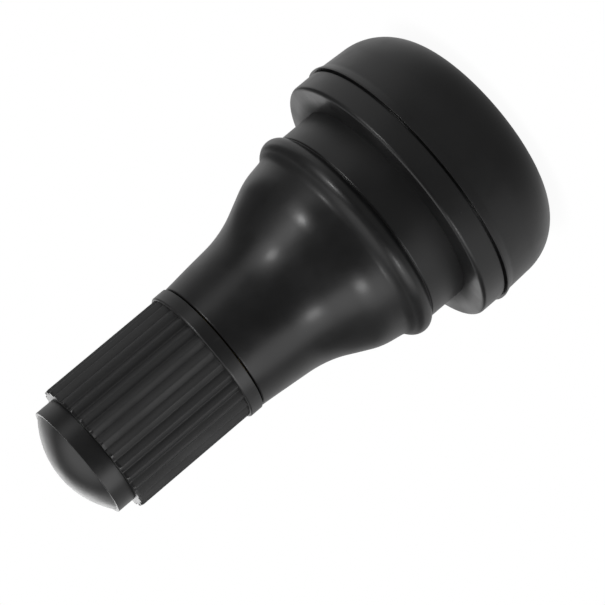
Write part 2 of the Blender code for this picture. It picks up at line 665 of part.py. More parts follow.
def pin_cup(finish, parent):
    """The pressed cup on the pin's foot that holds the seal."""
    hole = PIN_RADIUS + CUP_PIN_GAP
    outline = [
        (CUP_RADIUS, CUP_TOP_Z),
        (CUP_RADIUS, CUP_BOTTOM_Z),
        (hole, CUP_BOTTOM_Z),
        (hole, CUP_BOTTOM_Z + CUP_FLOOR),
        (CUP_RADIUS - CUP_WALL, CUP_BOTTOM_Z + CUP_FLOOR),
        (CUP_RADIUS - CUP_WALL, CUP_TOP_Z),
    ]
    return turned("pin_cup", outline, CORE_STEPS, finish, parent)


def cup_seal(finish, parent):
    """The rubber disc in the cup that closes the barrel's foot."""
    inner = PIN_RADIUS + CUP_PIN_GAP
    outer = CUP_RADIUS - CUP_WALL - SEAT_GAP
    low = CUP_BOTTOM_Z + CUP_FLOOR + SEAT_GAP
    outline = [(outer, SEAL_TOP_Z), (outer, low), (inner, low), (inner, SEAL_TOP_Z)]
    return turned("cup_seal", outline, CORE_STEPS, finish, parent)


def core_spring(finish, parent):
    """A coil spring with close end turns, between the barrel's floor and the pin's collar."""
    low = CHAMBER_BOTTOM_Z + SEAT_GAP + SPRING_WIRE_RADIUS
    high = PIN_COLLAR_BOTTOM_Z - SEAT_GAP - SPRING_WIRE_RADIUS
    open_turns = SPRING_TURNS - 2.0
    open_pitch = (high - low - 2.0 * SPRING_END_PITCH) / open_turns
    count = round(SPRING_TURNS * SPRING_POINTS_PER_TURN) + 1
    curve = bpy.data.curves.new("core_spring", "CURVE")
    curve.dimensions = "3D"
    curve.bevel_depth = SPRING_WIRE_RADIUS
    curve.bevel_resolution = 1
    curve.use_fill_caps = True
    wire = curve.splines.new("POLY")
    wire.points.add(count - 1)
    for index, point in enumerate(wire.points):
        turn = SPRING_TURNS * index / (count - 1)
        closed = min(turn, 1.0) + max(turn - SPRING_TURNS + 1.0, 0.0)
        height = low + closed * SPRING_END_PITCH + (turn - closed) * open_pitch
        angle = math.tau * turn
        place = (SPRING_RADIUS * math.cos(angle), SPRING_RADIUS * math.sin(angle), height)
        point.co = (*place, 1.0)
    return add_object("core_spring", curve, finish, parent)


def build():
    clear_scene()
    black_rubber = material("black_rubber", (0.018, 0.018, 0.019), 0.5, 0.0)
    brass = material("brass", (0.72, 0.5, 0.2), 0.3, 1.0)
    cap_plastic = material("cap_plastic", (0.02, 0.02, 0.021), 0.42, 0.0)
    seal_rubber = material("seal_rubber", (0.03, 0.03, 0.03), 0.6, 0.0)
    nickel = material("nickel_plate", (0.66, 0.65, 0.62), 0.25, 1.0)
    spring_steel = material("spring_steel", (0.5, 0.5, 0.5), 0.35, 1.0)

    rubber_body(black_rubber)
    brass_stem(brass)

    cap_lift = axis_empty("cap_lift")
    cap_turn = axis_empty("cap_turn", cap_lift)
    cap_washer(seal_rubber, cap_lift)
    valve_cap(cap_plastic, cap_turn)

    core_lift = axis_empty("core_lift")
    core_turn = axis_empty("core_turn", core_lift)
    pin_press = axis_empty("pin_press", core_lift)
    core_plug(brass, core_turn)
    core_barrel(brass, core_lift)
    core_gasket(seal_rubber, core_lift)
    core_spring(spring_steel, core_lift)
    core_pin(nickel, pin_press)
    pin_cup(brass, pin_press)
    cup_seal(seal_rubber, pin_press)


build()
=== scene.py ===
"""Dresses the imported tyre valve: moulded rubber body, ribbed screw cap, turned brass stem and sprung core.

Each new piece stands exactly where its CAD node stands. Nearly all of them are turned
about the valve's axis, Z: an outline of (radius, height) points is carried round a
circle, and ribs, threads and the key bridge are functions of the angle and the height.
All lengths are metres.
"""
import math

import bmesh
import bpy
import numpy as np
from bpy.props import FloatProperty, FloatVectorProperty, IntProperty, PointerProperty
from mathutils import Matrix, Vector


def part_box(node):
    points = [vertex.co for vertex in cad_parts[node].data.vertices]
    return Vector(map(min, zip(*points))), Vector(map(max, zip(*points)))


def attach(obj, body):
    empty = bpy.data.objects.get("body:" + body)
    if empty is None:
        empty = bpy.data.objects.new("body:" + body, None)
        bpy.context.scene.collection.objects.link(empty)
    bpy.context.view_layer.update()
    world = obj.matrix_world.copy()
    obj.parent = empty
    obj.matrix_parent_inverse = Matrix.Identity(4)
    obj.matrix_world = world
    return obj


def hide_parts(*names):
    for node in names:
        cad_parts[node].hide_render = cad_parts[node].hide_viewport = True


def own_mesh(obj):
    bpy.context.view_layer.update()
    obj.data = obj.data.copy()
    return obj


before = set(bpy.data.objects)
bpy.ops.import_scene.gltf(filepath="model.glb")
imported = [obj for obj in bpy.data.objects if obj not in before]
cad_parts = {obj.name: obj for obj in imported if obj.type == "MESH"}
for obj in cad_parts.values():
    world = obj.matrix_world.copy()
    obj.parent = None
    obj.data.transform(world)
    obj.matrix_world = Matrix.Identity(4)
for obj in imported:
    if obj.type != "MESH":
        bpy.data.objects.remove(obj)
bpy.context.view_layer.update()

bl_info = {
    "name": "Tyre valve",
    "version": (1, 0, 0),
    "blender": (4, 5, 0),
    "location": "3D View > Sidebar > Tyre valve",
    "description": "Builds the visible pieces of a snap-in tyre valve round its packed CAD model",
    "category": "Object",
}

TAU = math.tau


def heights(node):
    """Lowest and highest Z of a CAD node, which the piece that replaces it keeps."""
    return [corner.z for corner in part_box(node)]


RUBBER_END = heights("rubber_body")[1]
STEM_FOOT, STEM_TOP = heights("brass_stem")
CAP_MOUTH, CAP_TIP = heights("valve_cap")
WASHER_LOW, WASHER_HIGH = heights("cap_washer")
PLUG_LOW, PLUG_HIGH = heights("core_plug")
BARREL_LOW, BARREL_HIGH = heights("core_barrel")
GASKET_LOW, GASKET_HIGH = heights("core_gasket")
PIN_LOW, PIN_HIGH = heights("core_pin")
CUP_LOW, CUP_HIGH = heights("pin_cup")
SEAL_LOW, SEAL_HIGH = heights("cup_seal")
SPRING_LOW, SPRING_HIGH = heights("core_spring")

# Sizes that more than one piece needs
GAP = 0.00005  # between two pieces that fit into each other
FLANGE_RADIUS = 0.005  # the stem's flange, sunk in the rubber
FLANGE_THICKNESS = 0.0008
COLLAR_RADIUS = 0.00395  # the stem's collar, where it leaves the rubber
CONE_WIDE, CONE_TOP = 0.0023, 0.02345  # the cone in the stem that the core's ring seats on
CONE_NARROW, CONE_FOOT = 0.0019, 0.02245
PIN_RADIUS = 0.000525
PIN_HOLE = PIN_RADIUS + 0.00004  # the hole for the pin in its cup and seal
SOFT_EDGE = 0.00006  # fillet of small turned edges and of seals

# Columns of points round the axis
BODY_COLUMNS = 224
TURNED_COLUMNS = 128
CORE_COLUMNS = 96
RIB_COLUMNS = 20  # for each rib
CAP_COLUMNS = 4  # for each rib, where the cap has none
WIRE_COLUMNS = 12  # round the spring's wire
FLOOR_COLUMNS = 96
COIL_ROWS = 36  # for each turn of the spring

# Steps of arcs, and what counts as one point or as a sharp edge
ARC_STEP_DEG = 10.0
ARC_SAG = 0.0000005
WELD = 0.00000005
SHARP_DEG = 32.0

# Threads: section of one tooth over one pitch, from root to root, and the two pitches
TOOTH_PHASE = np.array([-0.41, -0.375, -0.08, -0.04, 0.04, 0.08, 0.375, 0.41])
TOOTH_RISE = np.array([0.0, 0.03, 0.95, 1.0, 1.0, 0.95, 0.03, 0.0])
STEM_PITCH = 0.0254 / 32.0
CORE_PITCH = 0.0254 / 36.0

# Finishes
MATT_DEPTH = 0.4  # crevice value from which a moulded skin is matt
MOTTLE_SHARE = 0.45  # how far the mottle takes the colour to the bloom's
WORN_TONE = 2.6  # a worn edge's brightness against the bloom's
MARK_TONE = 0.82  # the lathe's dark marks' brightness against the metal's
ROUGHER, SMOOTHER = 0.06, 0.04  # how far the roughness strays up and down
DUST_COLOUR = (0.16, 0.155, 0.15, 1.0)
DUST_SHARE = 0.2  # how far a speck takes the colour to the dust's
WHITE = (1.0, 1.0, 1.0, 1.0)


# Kinds of setting

def length_prop(name, description, default, precision=5):
    """A length in metres."""
    return FloatProperty(
        name=name, description=description, default=default, unit="LENGTH", precision=precision)


def colour_prop(name, description, default):
    """A colour with channels from 0 to 1."""
    return FloatVectorProperty(
        name=name, description=description, default=default, subtype="COLOR", min=0.0, max=1.0)


def share_prop(name, description, default):
    """A share from 0 to 1."""
    return FloatProperty(
        name=name, description=description, default=default, min=0.0, max=1.0, subtype="FACTOR")


def power_prop(name, description, default):
    """A light's power in watts."""
    return FloatProperty(name=name, description=description, default=default, min=0.0, subtype="POWER")


def glow_prop(name, description, default):
    """The brightness of a part of the room."""
    return FloatProperty(name=name, description=description, default=default, min=0.0)


def angle_prop(name, description, degrees):
    """An angle, with its default in degrees."""
    return FloatProperty(name=name, description=description, default=math.radians(degrees), subtype="ANGLE")


class RubberSettings(bpy.types.PropertyGroup):
    head_radius: length_prop("Head radius", "Outside radius of the head's band", 0.0093)
    lip_rise: length_prop("Lip rise", "How far the lip stands out of the head", 0.00017)
    crease_depth: length_prop("Crease depth", "Depth of the crease above the lip", 0.0003)
    neck_radius: length_prop("Neck radius", "Radius of the neck that the rim's hole grips", 0.0074)
    bead_radius: length_prop("Bead radius", "Section radius of the bead that snaps behind the rim", 0.0008)
    ripple: length_prop("Ripple", "Height of the unevenness left by the mould", 0.000012, 6)
    colour: colour_prop("Colour", "Colour of the rubber", (0.0085, 0.0085, 0.0088))
    bloom: colour_prop("Bloom", "Colour of the faint bloom on old rubber", (0.0185, 0.0185, 0.0190))
    roughness: share_prop("Roughness", "Roughness of the moulded skin", 0.35)


class CapSettings(bpy.types.PropertyGroup):
    rib_count: IntProperty(name="Ribs", description="Number of ribs round the skirt", default=30, min=3)
    rib_depth: length_prop("Rib depth", "Depth of the grooves between the ribs", 0.00026)
    rib_turn: angle_prop("Rib turn", "Angle of one of the grooves", -1.5)
    rib_edge: FloatProperty(
        name="Rib edge", description="Near 1 the ribs are sharp, near 0 they are round waves",
        default=0.95, min=0.05, max=0.999)
    rib_matt: share_prop("Rib mattness", "Added to the roughness on the ribs", 0.25)
    collar_fillet: length_prop("Collar fillet", "Rounding of the collar's upper edge", 0.00018)
    ledge: length_prop("Crown ledge", "Width of the flat ledge round the dome", 0.0002)
    colour: colour_prop("Colour", "Colour of the plastic", (0.0100, 0.0100, 0.0103))
    # Painted highlight: the ribs' tops get a lighter colour in place of the light they would catch
    rib_highlight_colour: colour_prop("Rib colour", "Colour of the rubbed tops of the ribs", (0.026, 0.026, 0.0265))
    roughness: share_prop("Roughness", "Roughness of the smooth skin", 0.35)


class BrassSettings(bpy.types.PropertyGroup):
    thread_depth: length_prop("Stem thread depth", "Depth of the thread that the cap screws onto", 0.00045)
    core_thread_depth: length_prop("Core thread depth", "Depth of the core's thread", 0.00038)
    colour: colour_prop("Stem colour", "Colour of the bright stem", (0.95, 0.74, 0.37))
    core_colour: colour_prop("Core colour", "Colour of the plain core", (0.86, 0.64, 0.32))
    tarnish: colour_prop("Tarnish", "Colour of the tarnish in roots and corners", (0.40, 0.25, 0.085))
    roughness: share_prop("Roughness", "Roughness of the turned metal", 0.25)


class CoreSettings(bpy.types.PropertyGroup):
    bridge_width: length_prop("Bridge width", "Width of the bridge that the key grips", 0.002)
    spring_turns: FloatProperty(
        name="Spring turns", description="Turns of the spring, with one closed turn at each end",
        default=6.0, min=3.0)
    wire_radius: length_prop("Wire radius", "Radius of the spring's wire", 0.000125, 6)
    pin_colour: colour_prop("Pin colour", "Colour of the plated pin", (0.66, 0.65, 0.62))
    wire_colour: colour_prop("Wire colour", "Colour of the spring's wire", (0.42, 0.41, 0.40))
    seal_colour: colour_prop("Seal colour", "Colour of the seals and washer", (0.022, 0.022, 0.022))


class StudioSettings(bpy.types.PropertyGroup):
    right_key: power_prop("Right key light", "Power of the small light on an upright valve's right", 0.12)
    left_key: power_prop("Left key light", "Power of the small light on its left", 0.075)
    rim_light: power_prop("Rim lights", "Power of each light behind the cap", 0.0012)
    tip_light: power_prop("Tip light", "Power of the light straight behind the dome", 0.0031)
    left_box: glow_prop("Left softbox", "Brightness of the softbox on the left of an upright valve", 1.25)
    right_box: glow_prop("Right softbox", "Brightness of the softbox on its right", 1.5)
    overhead: glow_prop("Overhead", "Brightness of the soft light above", 1.0)
    backdrop: glow_prop("Backdrop", "Brightness of the white backdrop in reflections", 0.5)
    back_box: glow_prop("Back softbox", "Brightness of the softbox straight behind the valve", 0.8)
    plate: glow_prop("Plate", "Brightness of the plate in front of the valve in reflections", 0.2)
    room: glow_prop("Room", "Brightness of the rest of the room in reflections", 0.10)
    lens: FloatProperty(
        name="Lens", description="Focal length on a 36 mm sensor", default=154.86, min=1.0, unit="CAMERA")
    camera_distance: length_prop("Camera distance", "From the camera to the point it looks at", 0.16503)
    camera_elevation: angle_prop("Camera elevation", "How far the camera looks down", 12.0)
    camera_roll: angle_prop("Camera roll", "Turn of the picture about the line of sight", 130.22)
    camera_target: FloatVectorProperty(
        name="Camera target", description="The point that the camera looks at",
        default=(-0.001439, 0.000234, 0.016102), subtype="TRANSLATION", precision=6)


# Outlines and skins

def unit(angle):
    """Unit vectors (cos, sin) of an array of angles."""
    return np.stack([np.cos(angle), np.sin(angle)], -1)


def rounded(corners):
    """A closed outline of (radius, height) points from (radius, height, fillet) corners.

    A corner that turns by the angle a becomes an arc of its fillet radius f, which starts
    f tan(a/2) before the corner and ends as far behind it. Two fillets too long for the
    line between them share it in proportion to their tangent lengths. Each step of an arc
    turns by 2 arccos(1 - sag / f) at most, so that no chord strays further than the sag.
    """
    corners = np.asarray(corners, float)
    here = corners[:, :2]
    line = np.roll(here, -1, 0) - here
    heading_out = np.arctan2(line[:, 1], line[:, 0])
    heading_in = np.roll(heading_out, 1)
    turn = (heading_out - heading_in + np.pi) % TAU - np.pi
    tangent = corners[:, 2] * np.abs(np.tan(turn / 2.0))
    room = np.hypot(line[:, 0], line[:, 1]) / np.maximum(tangent + np.roll(tangent, -1), 1e-12)
    share = np.minimum(1.0, np.minimum(room, np.roll(room, 1)))
    radius = corners[:, 2] * share
    side = np.sign(turn)
    start = here - (tangent * share)[:, None] * unit(heading_in)
    centre = start + (side * radius)[:, None] * unit(heading_in + np.pi / 2.0)
    step = 2.0 * np.arccos(1.0 - np.minimum(ARC_SAG / np.maximum(radius, 1e-9), 1.0))
    step = np.minimum(step, math.radians(ARC_STEP_DEG))
    steps = np.where(tangent > 0.0, np.ceil(np.abs(turn) / step), 0).astype(int)
    count = steps + 1
    which = np.repeat(np.arange(len(corners)), count)
    along = (np.arange(count.sum()) - (np.cumsum(count) - count)[which]) / np.maximum(steps[which], 1)
    angle = heading_in[which] - side[which] * np.pi / 2.0 + turn[which] * along
    return centre[which] + radius[which, None] * unit(angle)


def shored(points, step=0.0006, shore=0.00004):
    """An open outline with more points on its long stretches.

    A stretch longer than a step gets a point a shore's length from each end, which keeps
    the shading of a corner at the corner, and even points at most a step apart between them.
    """
    line = points[1:] - points[:-1]
    length = np.hypot(line[:, 0], line[:, 1])
    inner = np.where(length > step, np.ceil((length - 2.0 * shore) / step) + 1, 0).astype(int)
    count = inner + 1
    which = np.repeat(np.arange(len(line)), count)
    number = np.arange(count.sum()) - (np.cumsum(count) - count)[which]
    gap = (length - 2.0 * shore)[which] / np.maximum(inner[which] - 1, 1)
    along = np.where(number == 0, 0.0, shore + (number - 1) * gap) / np.maximum(length[which], 1e-12)
    return np.vstack([points[which] + along[:, None] * line[which], points[-1:]])


def sharp(points):
    """Corners without a fillet."""
    points = np.asarray(points, float).reshape(-1, 2)
    return np.column_stack([points, np.zeros(len(points))])


def ellipse_arc(centre, radii, start_deg, end_deg, count):
    """Points centre + (radii_r cos a, radii_z sin a) for count even angles a."""
    return np.asarray(centre) + np.asarray(radii) * unit(np.radians(np.linspace(start_deg, end_deg, count)))


def dome(tip, edge_radius, rise, count):
    """A slice of a sphere of radius (edge^2 + rise^2) / (2 rise), from its edge up to its tip."""
    sphere = (edge_radius ** 2 + rise ** 2) / (2.0 * rise)
    half = math.degrees(math.asin(edge_radius / sphere))
    return ellipse_arc((0.0, tip - sphere), (sphere, sphere), 90.0 - half, 90.0, count)


def ease(value, start, width):
    """0 up to start, 1 from start + width on, a straight line between."""
    return np.clip((value - start) / width, 0.0, 1.0)


def columns(count):
    """Even angles round the axis. The first and the last are the same place and are welded later."""
    return np.linspace(0.0, TAU, count + 1)


def patch(radius, height, angles, crevice=0.0):
    """Rows of points (r cos a, r sin a, z), each with how deep in a crevice it lies.

    radius, height and crevice are arrays of rows, or of rows by columns.
    """
    shape = (len(height), len(angles))
    rows = [np.asarray(v)[:, None] if np.ndim(v) == 1 else v for v in (radius, height, crevice)]
    r, z, deep = [np.broadcast_to(v, shape) for v in rows]
    return np.stack([r * np.cos(angles), r * np.sin(angles), z, deep], -1)


def outline_patch(points, angles, crevice=0.0):
    """A patch whose rows are an outline's points."""
    points = shored(points)
    return patch(points[:, 0], points[:, 1], angles, crevice)


def between(lower, upper):
    """Faces that join two rows of point numbers. One row may have a whole number of times more points."""
    coarse = min(len(lower), len(upper)) - 1
    column = np.arange(coarse)[:, None]
    low_step = (len(lower) - 1) // coarse
    high_step = (len(upper) - 1) // coarse
    low = lower[column * low_step + np.arange(low_step + 1)]
    high = upper[column * high_step + np.arange(high_step, -1, -1)]
    return np.hstack([low, high])


def grid_faces(grid):
    """Faces that join the rows of a grid of points, each to the next."""
    numbers = np.arange(grid.shape[0] * grid.shape[1]).reshape(grid.shape[:2])
    return np.concatenate([between(low, high) for low, high in zip(numbers, numbers[1:])]).tolist()


def tooth_rise(phase):
    """Height of a thread's tooth, 0 at its root and 1 at its crest, for a phase counted in pitches."""
    return np.interp((phase + 0.5) % 1.0 - 0.5, TOOTH_PHASE, TOOTH_RISE)


def thread_rows(low, high, pitch, start, angles):
    """Heights and tooth rises of a right-hand thread's rows.

    The row with the phase p lies at start + pitch (p + a / tau) for the angle a, so that its
    edges follow the helix. Beyond low and high it is flattened onto them.
    """
    turns = np.arange(math.floor((low - start) / pitch) - 2, math.ceil((high - start) / pitch) + 1)
    phase = (turns[:, None] + TOOTH_PHASE).ravel()
    height = np.clip(start + pitch * (phase[:, None] + angles / TAU), low, high)
    return height, tooth_rise((height - start) / pitch - angles / TAU)


def outer_thread(crest, depth, low, high, pitch, start, low_radius, high_radius, angles):
    """A thread cut into a shaft. Its radius is crest - depth (1 - rise), and a cone of 45 degrees ends it
    at low_radius below and at high_radius above.
    """
    z, rise = thread_rows(low, high, pitch, start, angles)
    end_cones = np.minimum(low_radius + z - low, high_radius + high - z)
    return patch(np.minimum(crest - depth * (1.0 - rise), end_cones), z, angles, 1.0 - rise)


def inner_thread(root, depth, low, high, pitch, start, low_radius, high_radius, angles):
    """The same in a bore, from above down. Its radius is root - depth rise."""
    z, rise = thread_rows(low, high, pitch, start, angles)
    end_cones = np.maximum(low_radius - (z - low), high_radius - (high - z))
    return patch(np.maximum(root - depth * rise, end_cones), z, angles, 1.0 - rise)[::-1]


def add_object(name, data):
    """An object in the scene."""
    made = bpy.data.objects.new(name, data)
    bpy.context.scene.collection.objects.link(made)
    return made


def add_piece(name, vertices, faces, material, crevice=None):
    """Puts points and faces into a mesh, welds seams and poles, turns the faces out, adds the object."""
    mesh = bpy.data.meshes.new(name)
    mesh.from_pydata(vertices.tolist(), [], faces)
    if crevice is not None:
        layer = mesh.attributes.new("crevice", "FLOAT", "POINT")
        layer.data.foreach_set("value", crevice.astype(np.float32))
    shape = bmesh.new()
    shape.from_mesh(mesh)
    bmesh.ops.remove_doubles(shape, verts=shape.verts, dist=WELD)
    bmesh.ops.dissolve_degenerate(shape, edges=shape.edges, dist=WELD)
    loose = [edge for edge in shape.edges if not edge.link_faces]
    bmesh.ops.delete(shape, geom=loose, context="EDGES")
    bmesh.ops.recalc_face_normals(shape, faces=shape.faces)
    shape.to_mesh(mesh)
    shape.free()
    mesh.shade_smooth()
    mesh.set_sharp_from_angle(angle=math.radians(SHARP_DEG))
    mesh.materials.append(material)
    return add_object(name, mesh)


def add_skin(name, shells, material):
    """A piece of closed shells. A shell's patches are each joined to the next, and the last to the first."""
    points, faces, first = [], [], 0
    for patches in shells:
        rows = []
        for grid in patches:
            numbers = first + np.arange(grid.shape[0] * grid.shape[1]).reshape(grid.shape[:2])
            first += numbers.size
            rows += list(numbers)
            points.append(grid.reshape(-1, 4))
        for lower, upper in zip(rows, rows[1:] + rows[:1]):
            faces += between(lower, upper).tolist()
    points = np.concatenate(points)
    return add_piece(name, points[:, :3], faces, material, points[:, 3])


def place(piece, body, node):
    """Puts a piece on the body it rides on and hides the CAD node that it stands for."""
    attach(piece, body)
    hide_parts(node)


def turned_piece(name, corners, crevice, finish, body, node):
    """A piece turned from one closed outline."""
    shell = [outline_patch(rounded(corners), columns(CORE_COLUMNS), crevice)]
    place(add_skin(name, [shell], finish), body, node)


# Materials

def add_node(tree, kind, inputs=None, **settings):
    """A node with its settings, whose inputs are fed by sockets or set to values."""
    made = tree.nodes.new(kind)
    for key, value in settings.items():
        setattr(made, key, value)
    for key, value in (inputs or {}).items():
        if isinstance(value, bpy.types.NodeSocket):
            tree.links.new(value, made.inputs[key])
        else:
            made.inputs[key].default_value = value
    return made


def math_node(tree, operation, first, second=0.0, clamp=False):
    made = add_node(tree, "ShaderNodeMath", {0: first, 1: second}, operation=operation, use_clamp=clamp)
    return made.outputs[0]


def times(tree, first, second):
    return math_node(tree, "MULTIPLY", first, second)


def ramp(tree, value, low, high, to_low=0.0, to_high=1.0):
    """value taken smoothly from low..high to to_low..to_high."""
    inputs = {"Value": value, "From Min": low, "From Max": high, "To Min": to_low, "To Max": to_high}
    return add_node(tree, "ShaderNodeMapRange", inputs, interpolation_type="SMOOTHSTEP").outputs[0]


def window(tree, value, rise, full, fade, gone):
    """1 between full and fade, 0 outside rise and gone, smooth between."""
    return times(tree, ramp(tree, value, rise, full), ramp(tree, value, fade, gone, 1.0, 0.0))


def mix_colour(tree, share, first, second):
    """The colour first taken towards the colour second by a share. They are the node's inputs 6 and 7."""
    inputs = {0: share, 6: first, 7: second}
    return add_node(tree, "ShaderNodeMix", inputs, data_type="RGBA", clamp_factor=True).outputs[2]


def noise(tree, vector, scale, detail=2.0, roughness=0.5):
    inputs = {"Vector": vector, "Scale": scale, "Detail": detail, "Roughness": roughness}
    return add_node(tree, "ShaderNodeTexNoise", inputs).outputs["Fac"]


def cell_distance(tree, vector, scale):
    """How far the middle of the nearest of many scattered cells is."""
    return add_node(tree, "ShaderNodeTexVoronoi", {"Vector": vector, "Scale": scale}).outputs["Distance"]


def axes(tree, vector):
    return add_node(tree, "ShaderNodeSeparateXYZ", {0: vector}).outputs


def object_place(tree):
    return add_node(tree, "ShaderNodeTexCoord").outputs["Object"]


def crevice_depth(tree):
    return add_node(tree, "ShaderNodeAttribute", attribute_name="crevice").outputs["Fac"]


def new_group(name, inputs, outputs):
    """An empty shader node group with named float inputs and outputs, and its two end nodes."""
    made = bpy.data.node_groups.new(name, "ShaderNodeTree")
    for socket, default in inputs.items():
        added = made.interface.new_socket(socket, in_out="INPUT", socket_type="NodeSocketFloat")
        added.default_value = default
    for socket in outputs:
        made.interface.new_socket(socket, in_out="OUTPUT", socket_type="NodeSocketFloat")
    return made, made.nodes.new("NodeGroupInput").outputs, made.nodes.new("NodeGroupOutput").inputs


def grain_group():
    """Moulded skin: grain, pits and low waves for the bump, and a broad mottle for colour and roughness."""
    inputs = {"Grain": 9000.0, "Mottle": 260.0, "Pits": 0.3, "Waves": 4.0}
    tree, given, result = new_group("moulded_grain", inputs, ("Height", "Mottle"))
    at = object_place(tree)
    fine = noise(tree, at, given["Grain"], detail=3.0, roughness=0.6)
    wide = noise(tree, at, given["Mottle"], detail=4.0, roughness=0.55)
    pits = ramp(tree, cell_distance(tree, at, 2600.0), 0.05, 0.16, 1.0, 0.0)
    pits = times(tree, pits, given["Pits"])
    waves = times(tree, noise(tree, at, 650.0, detail=2.5), given["Waves"])
    height = math_node(tree, "ADD", math_node(tree, "SUBTRACT", fine, pits), waves)
    tree.links.new(height, result["Height"])
    tree.links.new(ramp(tree, wide, 0.3, 0.7), result["Mottle"])
    return tree


def edge_group():
    """Where the surface is convex and wears: a mask from the mesh's own curvature."""
    tree, given, result = new_group("edge_wear", {"From": 0.52, "To": 0.62}, ("Mask",))
    bend = add_node(tree, "ShaderNodeNewGeometry").outputs["Pointiness"]
    spots = noise(tree, object_place(tree), 2200.0, detail=3.0)
    worn = ramp(tree, bend, given["From"], given["To"])
    tree.links.new(times(tree, worn, ramp(tree, spots, 0.25, 0.6, 0.35, 1.0)), result["Mask"])
    return tree


def dust_group():
    """Sparse specks of dust: the cores of scattered cells, thinned by a broad noise."""
    tree, given, result = new_group("dust", {"Scale": 1500.0, "Size": 0.055}, ("Mask",))
    at = object_place(tree)
    speck = math_node(tree, "LESS_THAN", cell_distance(tree, at, given["Scale"]), given["Size"])
    tree.links.new(times(tree, speck, ramp(tree, noise(tree, at, 420.0), 0.52, 0.62)), result["Mask"])
    return tree


def turning_group():
    """Tool marks of a lathe: noise that depends on radius and height alone, so it runs round the axis."""
    tree, given, result = new_group("turning_marks", {"Pitch": 26000.0}, ("Height", "Tone"))
    x, y, z = axes(tree, object_place(tree))
    radius = math_node(tree, "SQRT", math_node(tree, "ADD", times(tree, x, x), times(tree, y, y)))
    section = add_node(tree, "ShaderNodeCombineXYZ", {0: radius, 2: z}).outputs[0]
    tree.links.new(noise(tree, section, given["Pitch"], roughness=0.7), result["Height"])
    tree.links.new(ramp(tree, noise(tree, section, 3200.0, detail=3.0), 0.3, 0.7), result["Tone"])
    return tree


def tarnish_group():
    """Tarnish: gathers in crevices and roots, broken up by noise, with a faint veil elsewhere."""
    tree, given, result = new_group("tarnish", {"Crevices": 0.8, "Veil": 0.15}, ("Mask",))
    spots = noise(tree, object_place(tree), 900.0, detail=5.0, roughness=0.6)
    deep = times(tree, crevice_depth(tree), given["Crevices"])
    deep = times(tree, deep, ramp(tree, spots, 0.2, 0.6, 0.5, 1.0))
    veil = times(tree, ramp(tree, spots, 0.45, 0.75), given["Veil"])
    tree.links.new(math_node(tree, "ADD", deep, veil, clamp=True), result["Mask"])
    return tree


GROUP_MAKERS = {"moulded_grain": grain_group, "edge_wear": edge_group, "dust": dust_group,
                "turning_marks": turning_group, "tarnish": tarnish_group}


def use_group(tree, name, **inputs):
    """A placed node group, made the first time it is asked for."""
    made = add_node(tree, "ShaderNodeGroup")
    made.node_tree = bpy.data.node_groups.get(name) or GROUP_MAKERS[name]()
    for key, value in inputs.items():
        made.inputs[key].default_value = value
    return made.outputs


def start_material(name):
    """A material with its nodes and shader, or with neither where an earlier piece has finished it."""
    made = bpy.data.materials.get(name)
    if made:
        return made, None, None
    made = bpy.data.materials.new(name)
    made.use_nodes = True
    return made, made.node_tree, made.node_tree.nodes["Principled BSDF"]


def bumped(tree, shader, height, strength, distance):
    bump = add_node(tree, "ShaderNodeBump", {"Strength": strength, "Distance": distance, "Height": height})
    tree.links.new(bump.outputs[0], shader.inputs["Normal"])


def moulded_material(name, colour, bloom, roughness, grain, edge, bump,
                     gloss=0.0, specular=0.5, matt=0.0, top=None):
    """Moulded rubber or plastic: mottled, a little lighter on its worn edges, with fine grain and specks.

    Where the crevice attribute is over MATT_DEPTH the skin is as much rougher as matt says and has
    lost its gloss. It has the painted highlight colour top from there to 0.6 and its own colour at 1.
    """
    made, tree, shader = start_material(name)
    if tree is None:
        return made
    skin = use_group(tree, "moulded_grain", Grain=grain)
    worn = use_group(tree, "edge_wear")["Mask"]
    dusty = use_group(tree, "dust")["Mask"]
    tone = mix_colour(tree, times(tree, skin["Mottle"], MOTTLE_SHARE), (*colour, 1.0), (*bloom, 1.0))
    tone = mix_colour(tree, times(tree, worn, edge), tone, (*(WORN_TONE * c for c in bloom), 1.0))
    tone = mix_colour(tree, times(tree, dusty, DUST_SHARE), tone, DUST_COLOUR)
    depth = crevice_depth(tree)
    if top:
        # Painted highlight: the lighter colour top is painted where ridge tops would catch the light
        tone = mix_colour(tree, window(tree, depth, 0.3, MATT_DEPTH, 0.6, 1.0), tone, (*top, 1.0))
    tree.links.new(tone, shader.inputs["Base Color"])
    rough = ramp(tree, skin["Mottle"], 0.0, 1.0, roughness - SMOOTHER, roughness + ROUGHER)
    rough = math_node(tree, "ADD", rough, ramp(tree, depth, 0.0, MATT_DEPTH, 0.0, matt))
    rough = math_node(tree, "ADD", rough, times(tree, dusty, 0.3), clamp=True)
    tree.links.new(rough, shader.inputs["Roughness"])
    shader.inputs["Specular IOR Level"].default_value = specular
    if gloss:
        tree.links.new(ramp(tree, depth, 0.0, MATT_DEPTH, gloss, 0.0), shader.inputs["Coat Weight"])
    shader.inputs["Coat Roughness"].default_value = 0.2
    bumped(tree, shader, skin["Height"], bump, 0.00001)
    return made


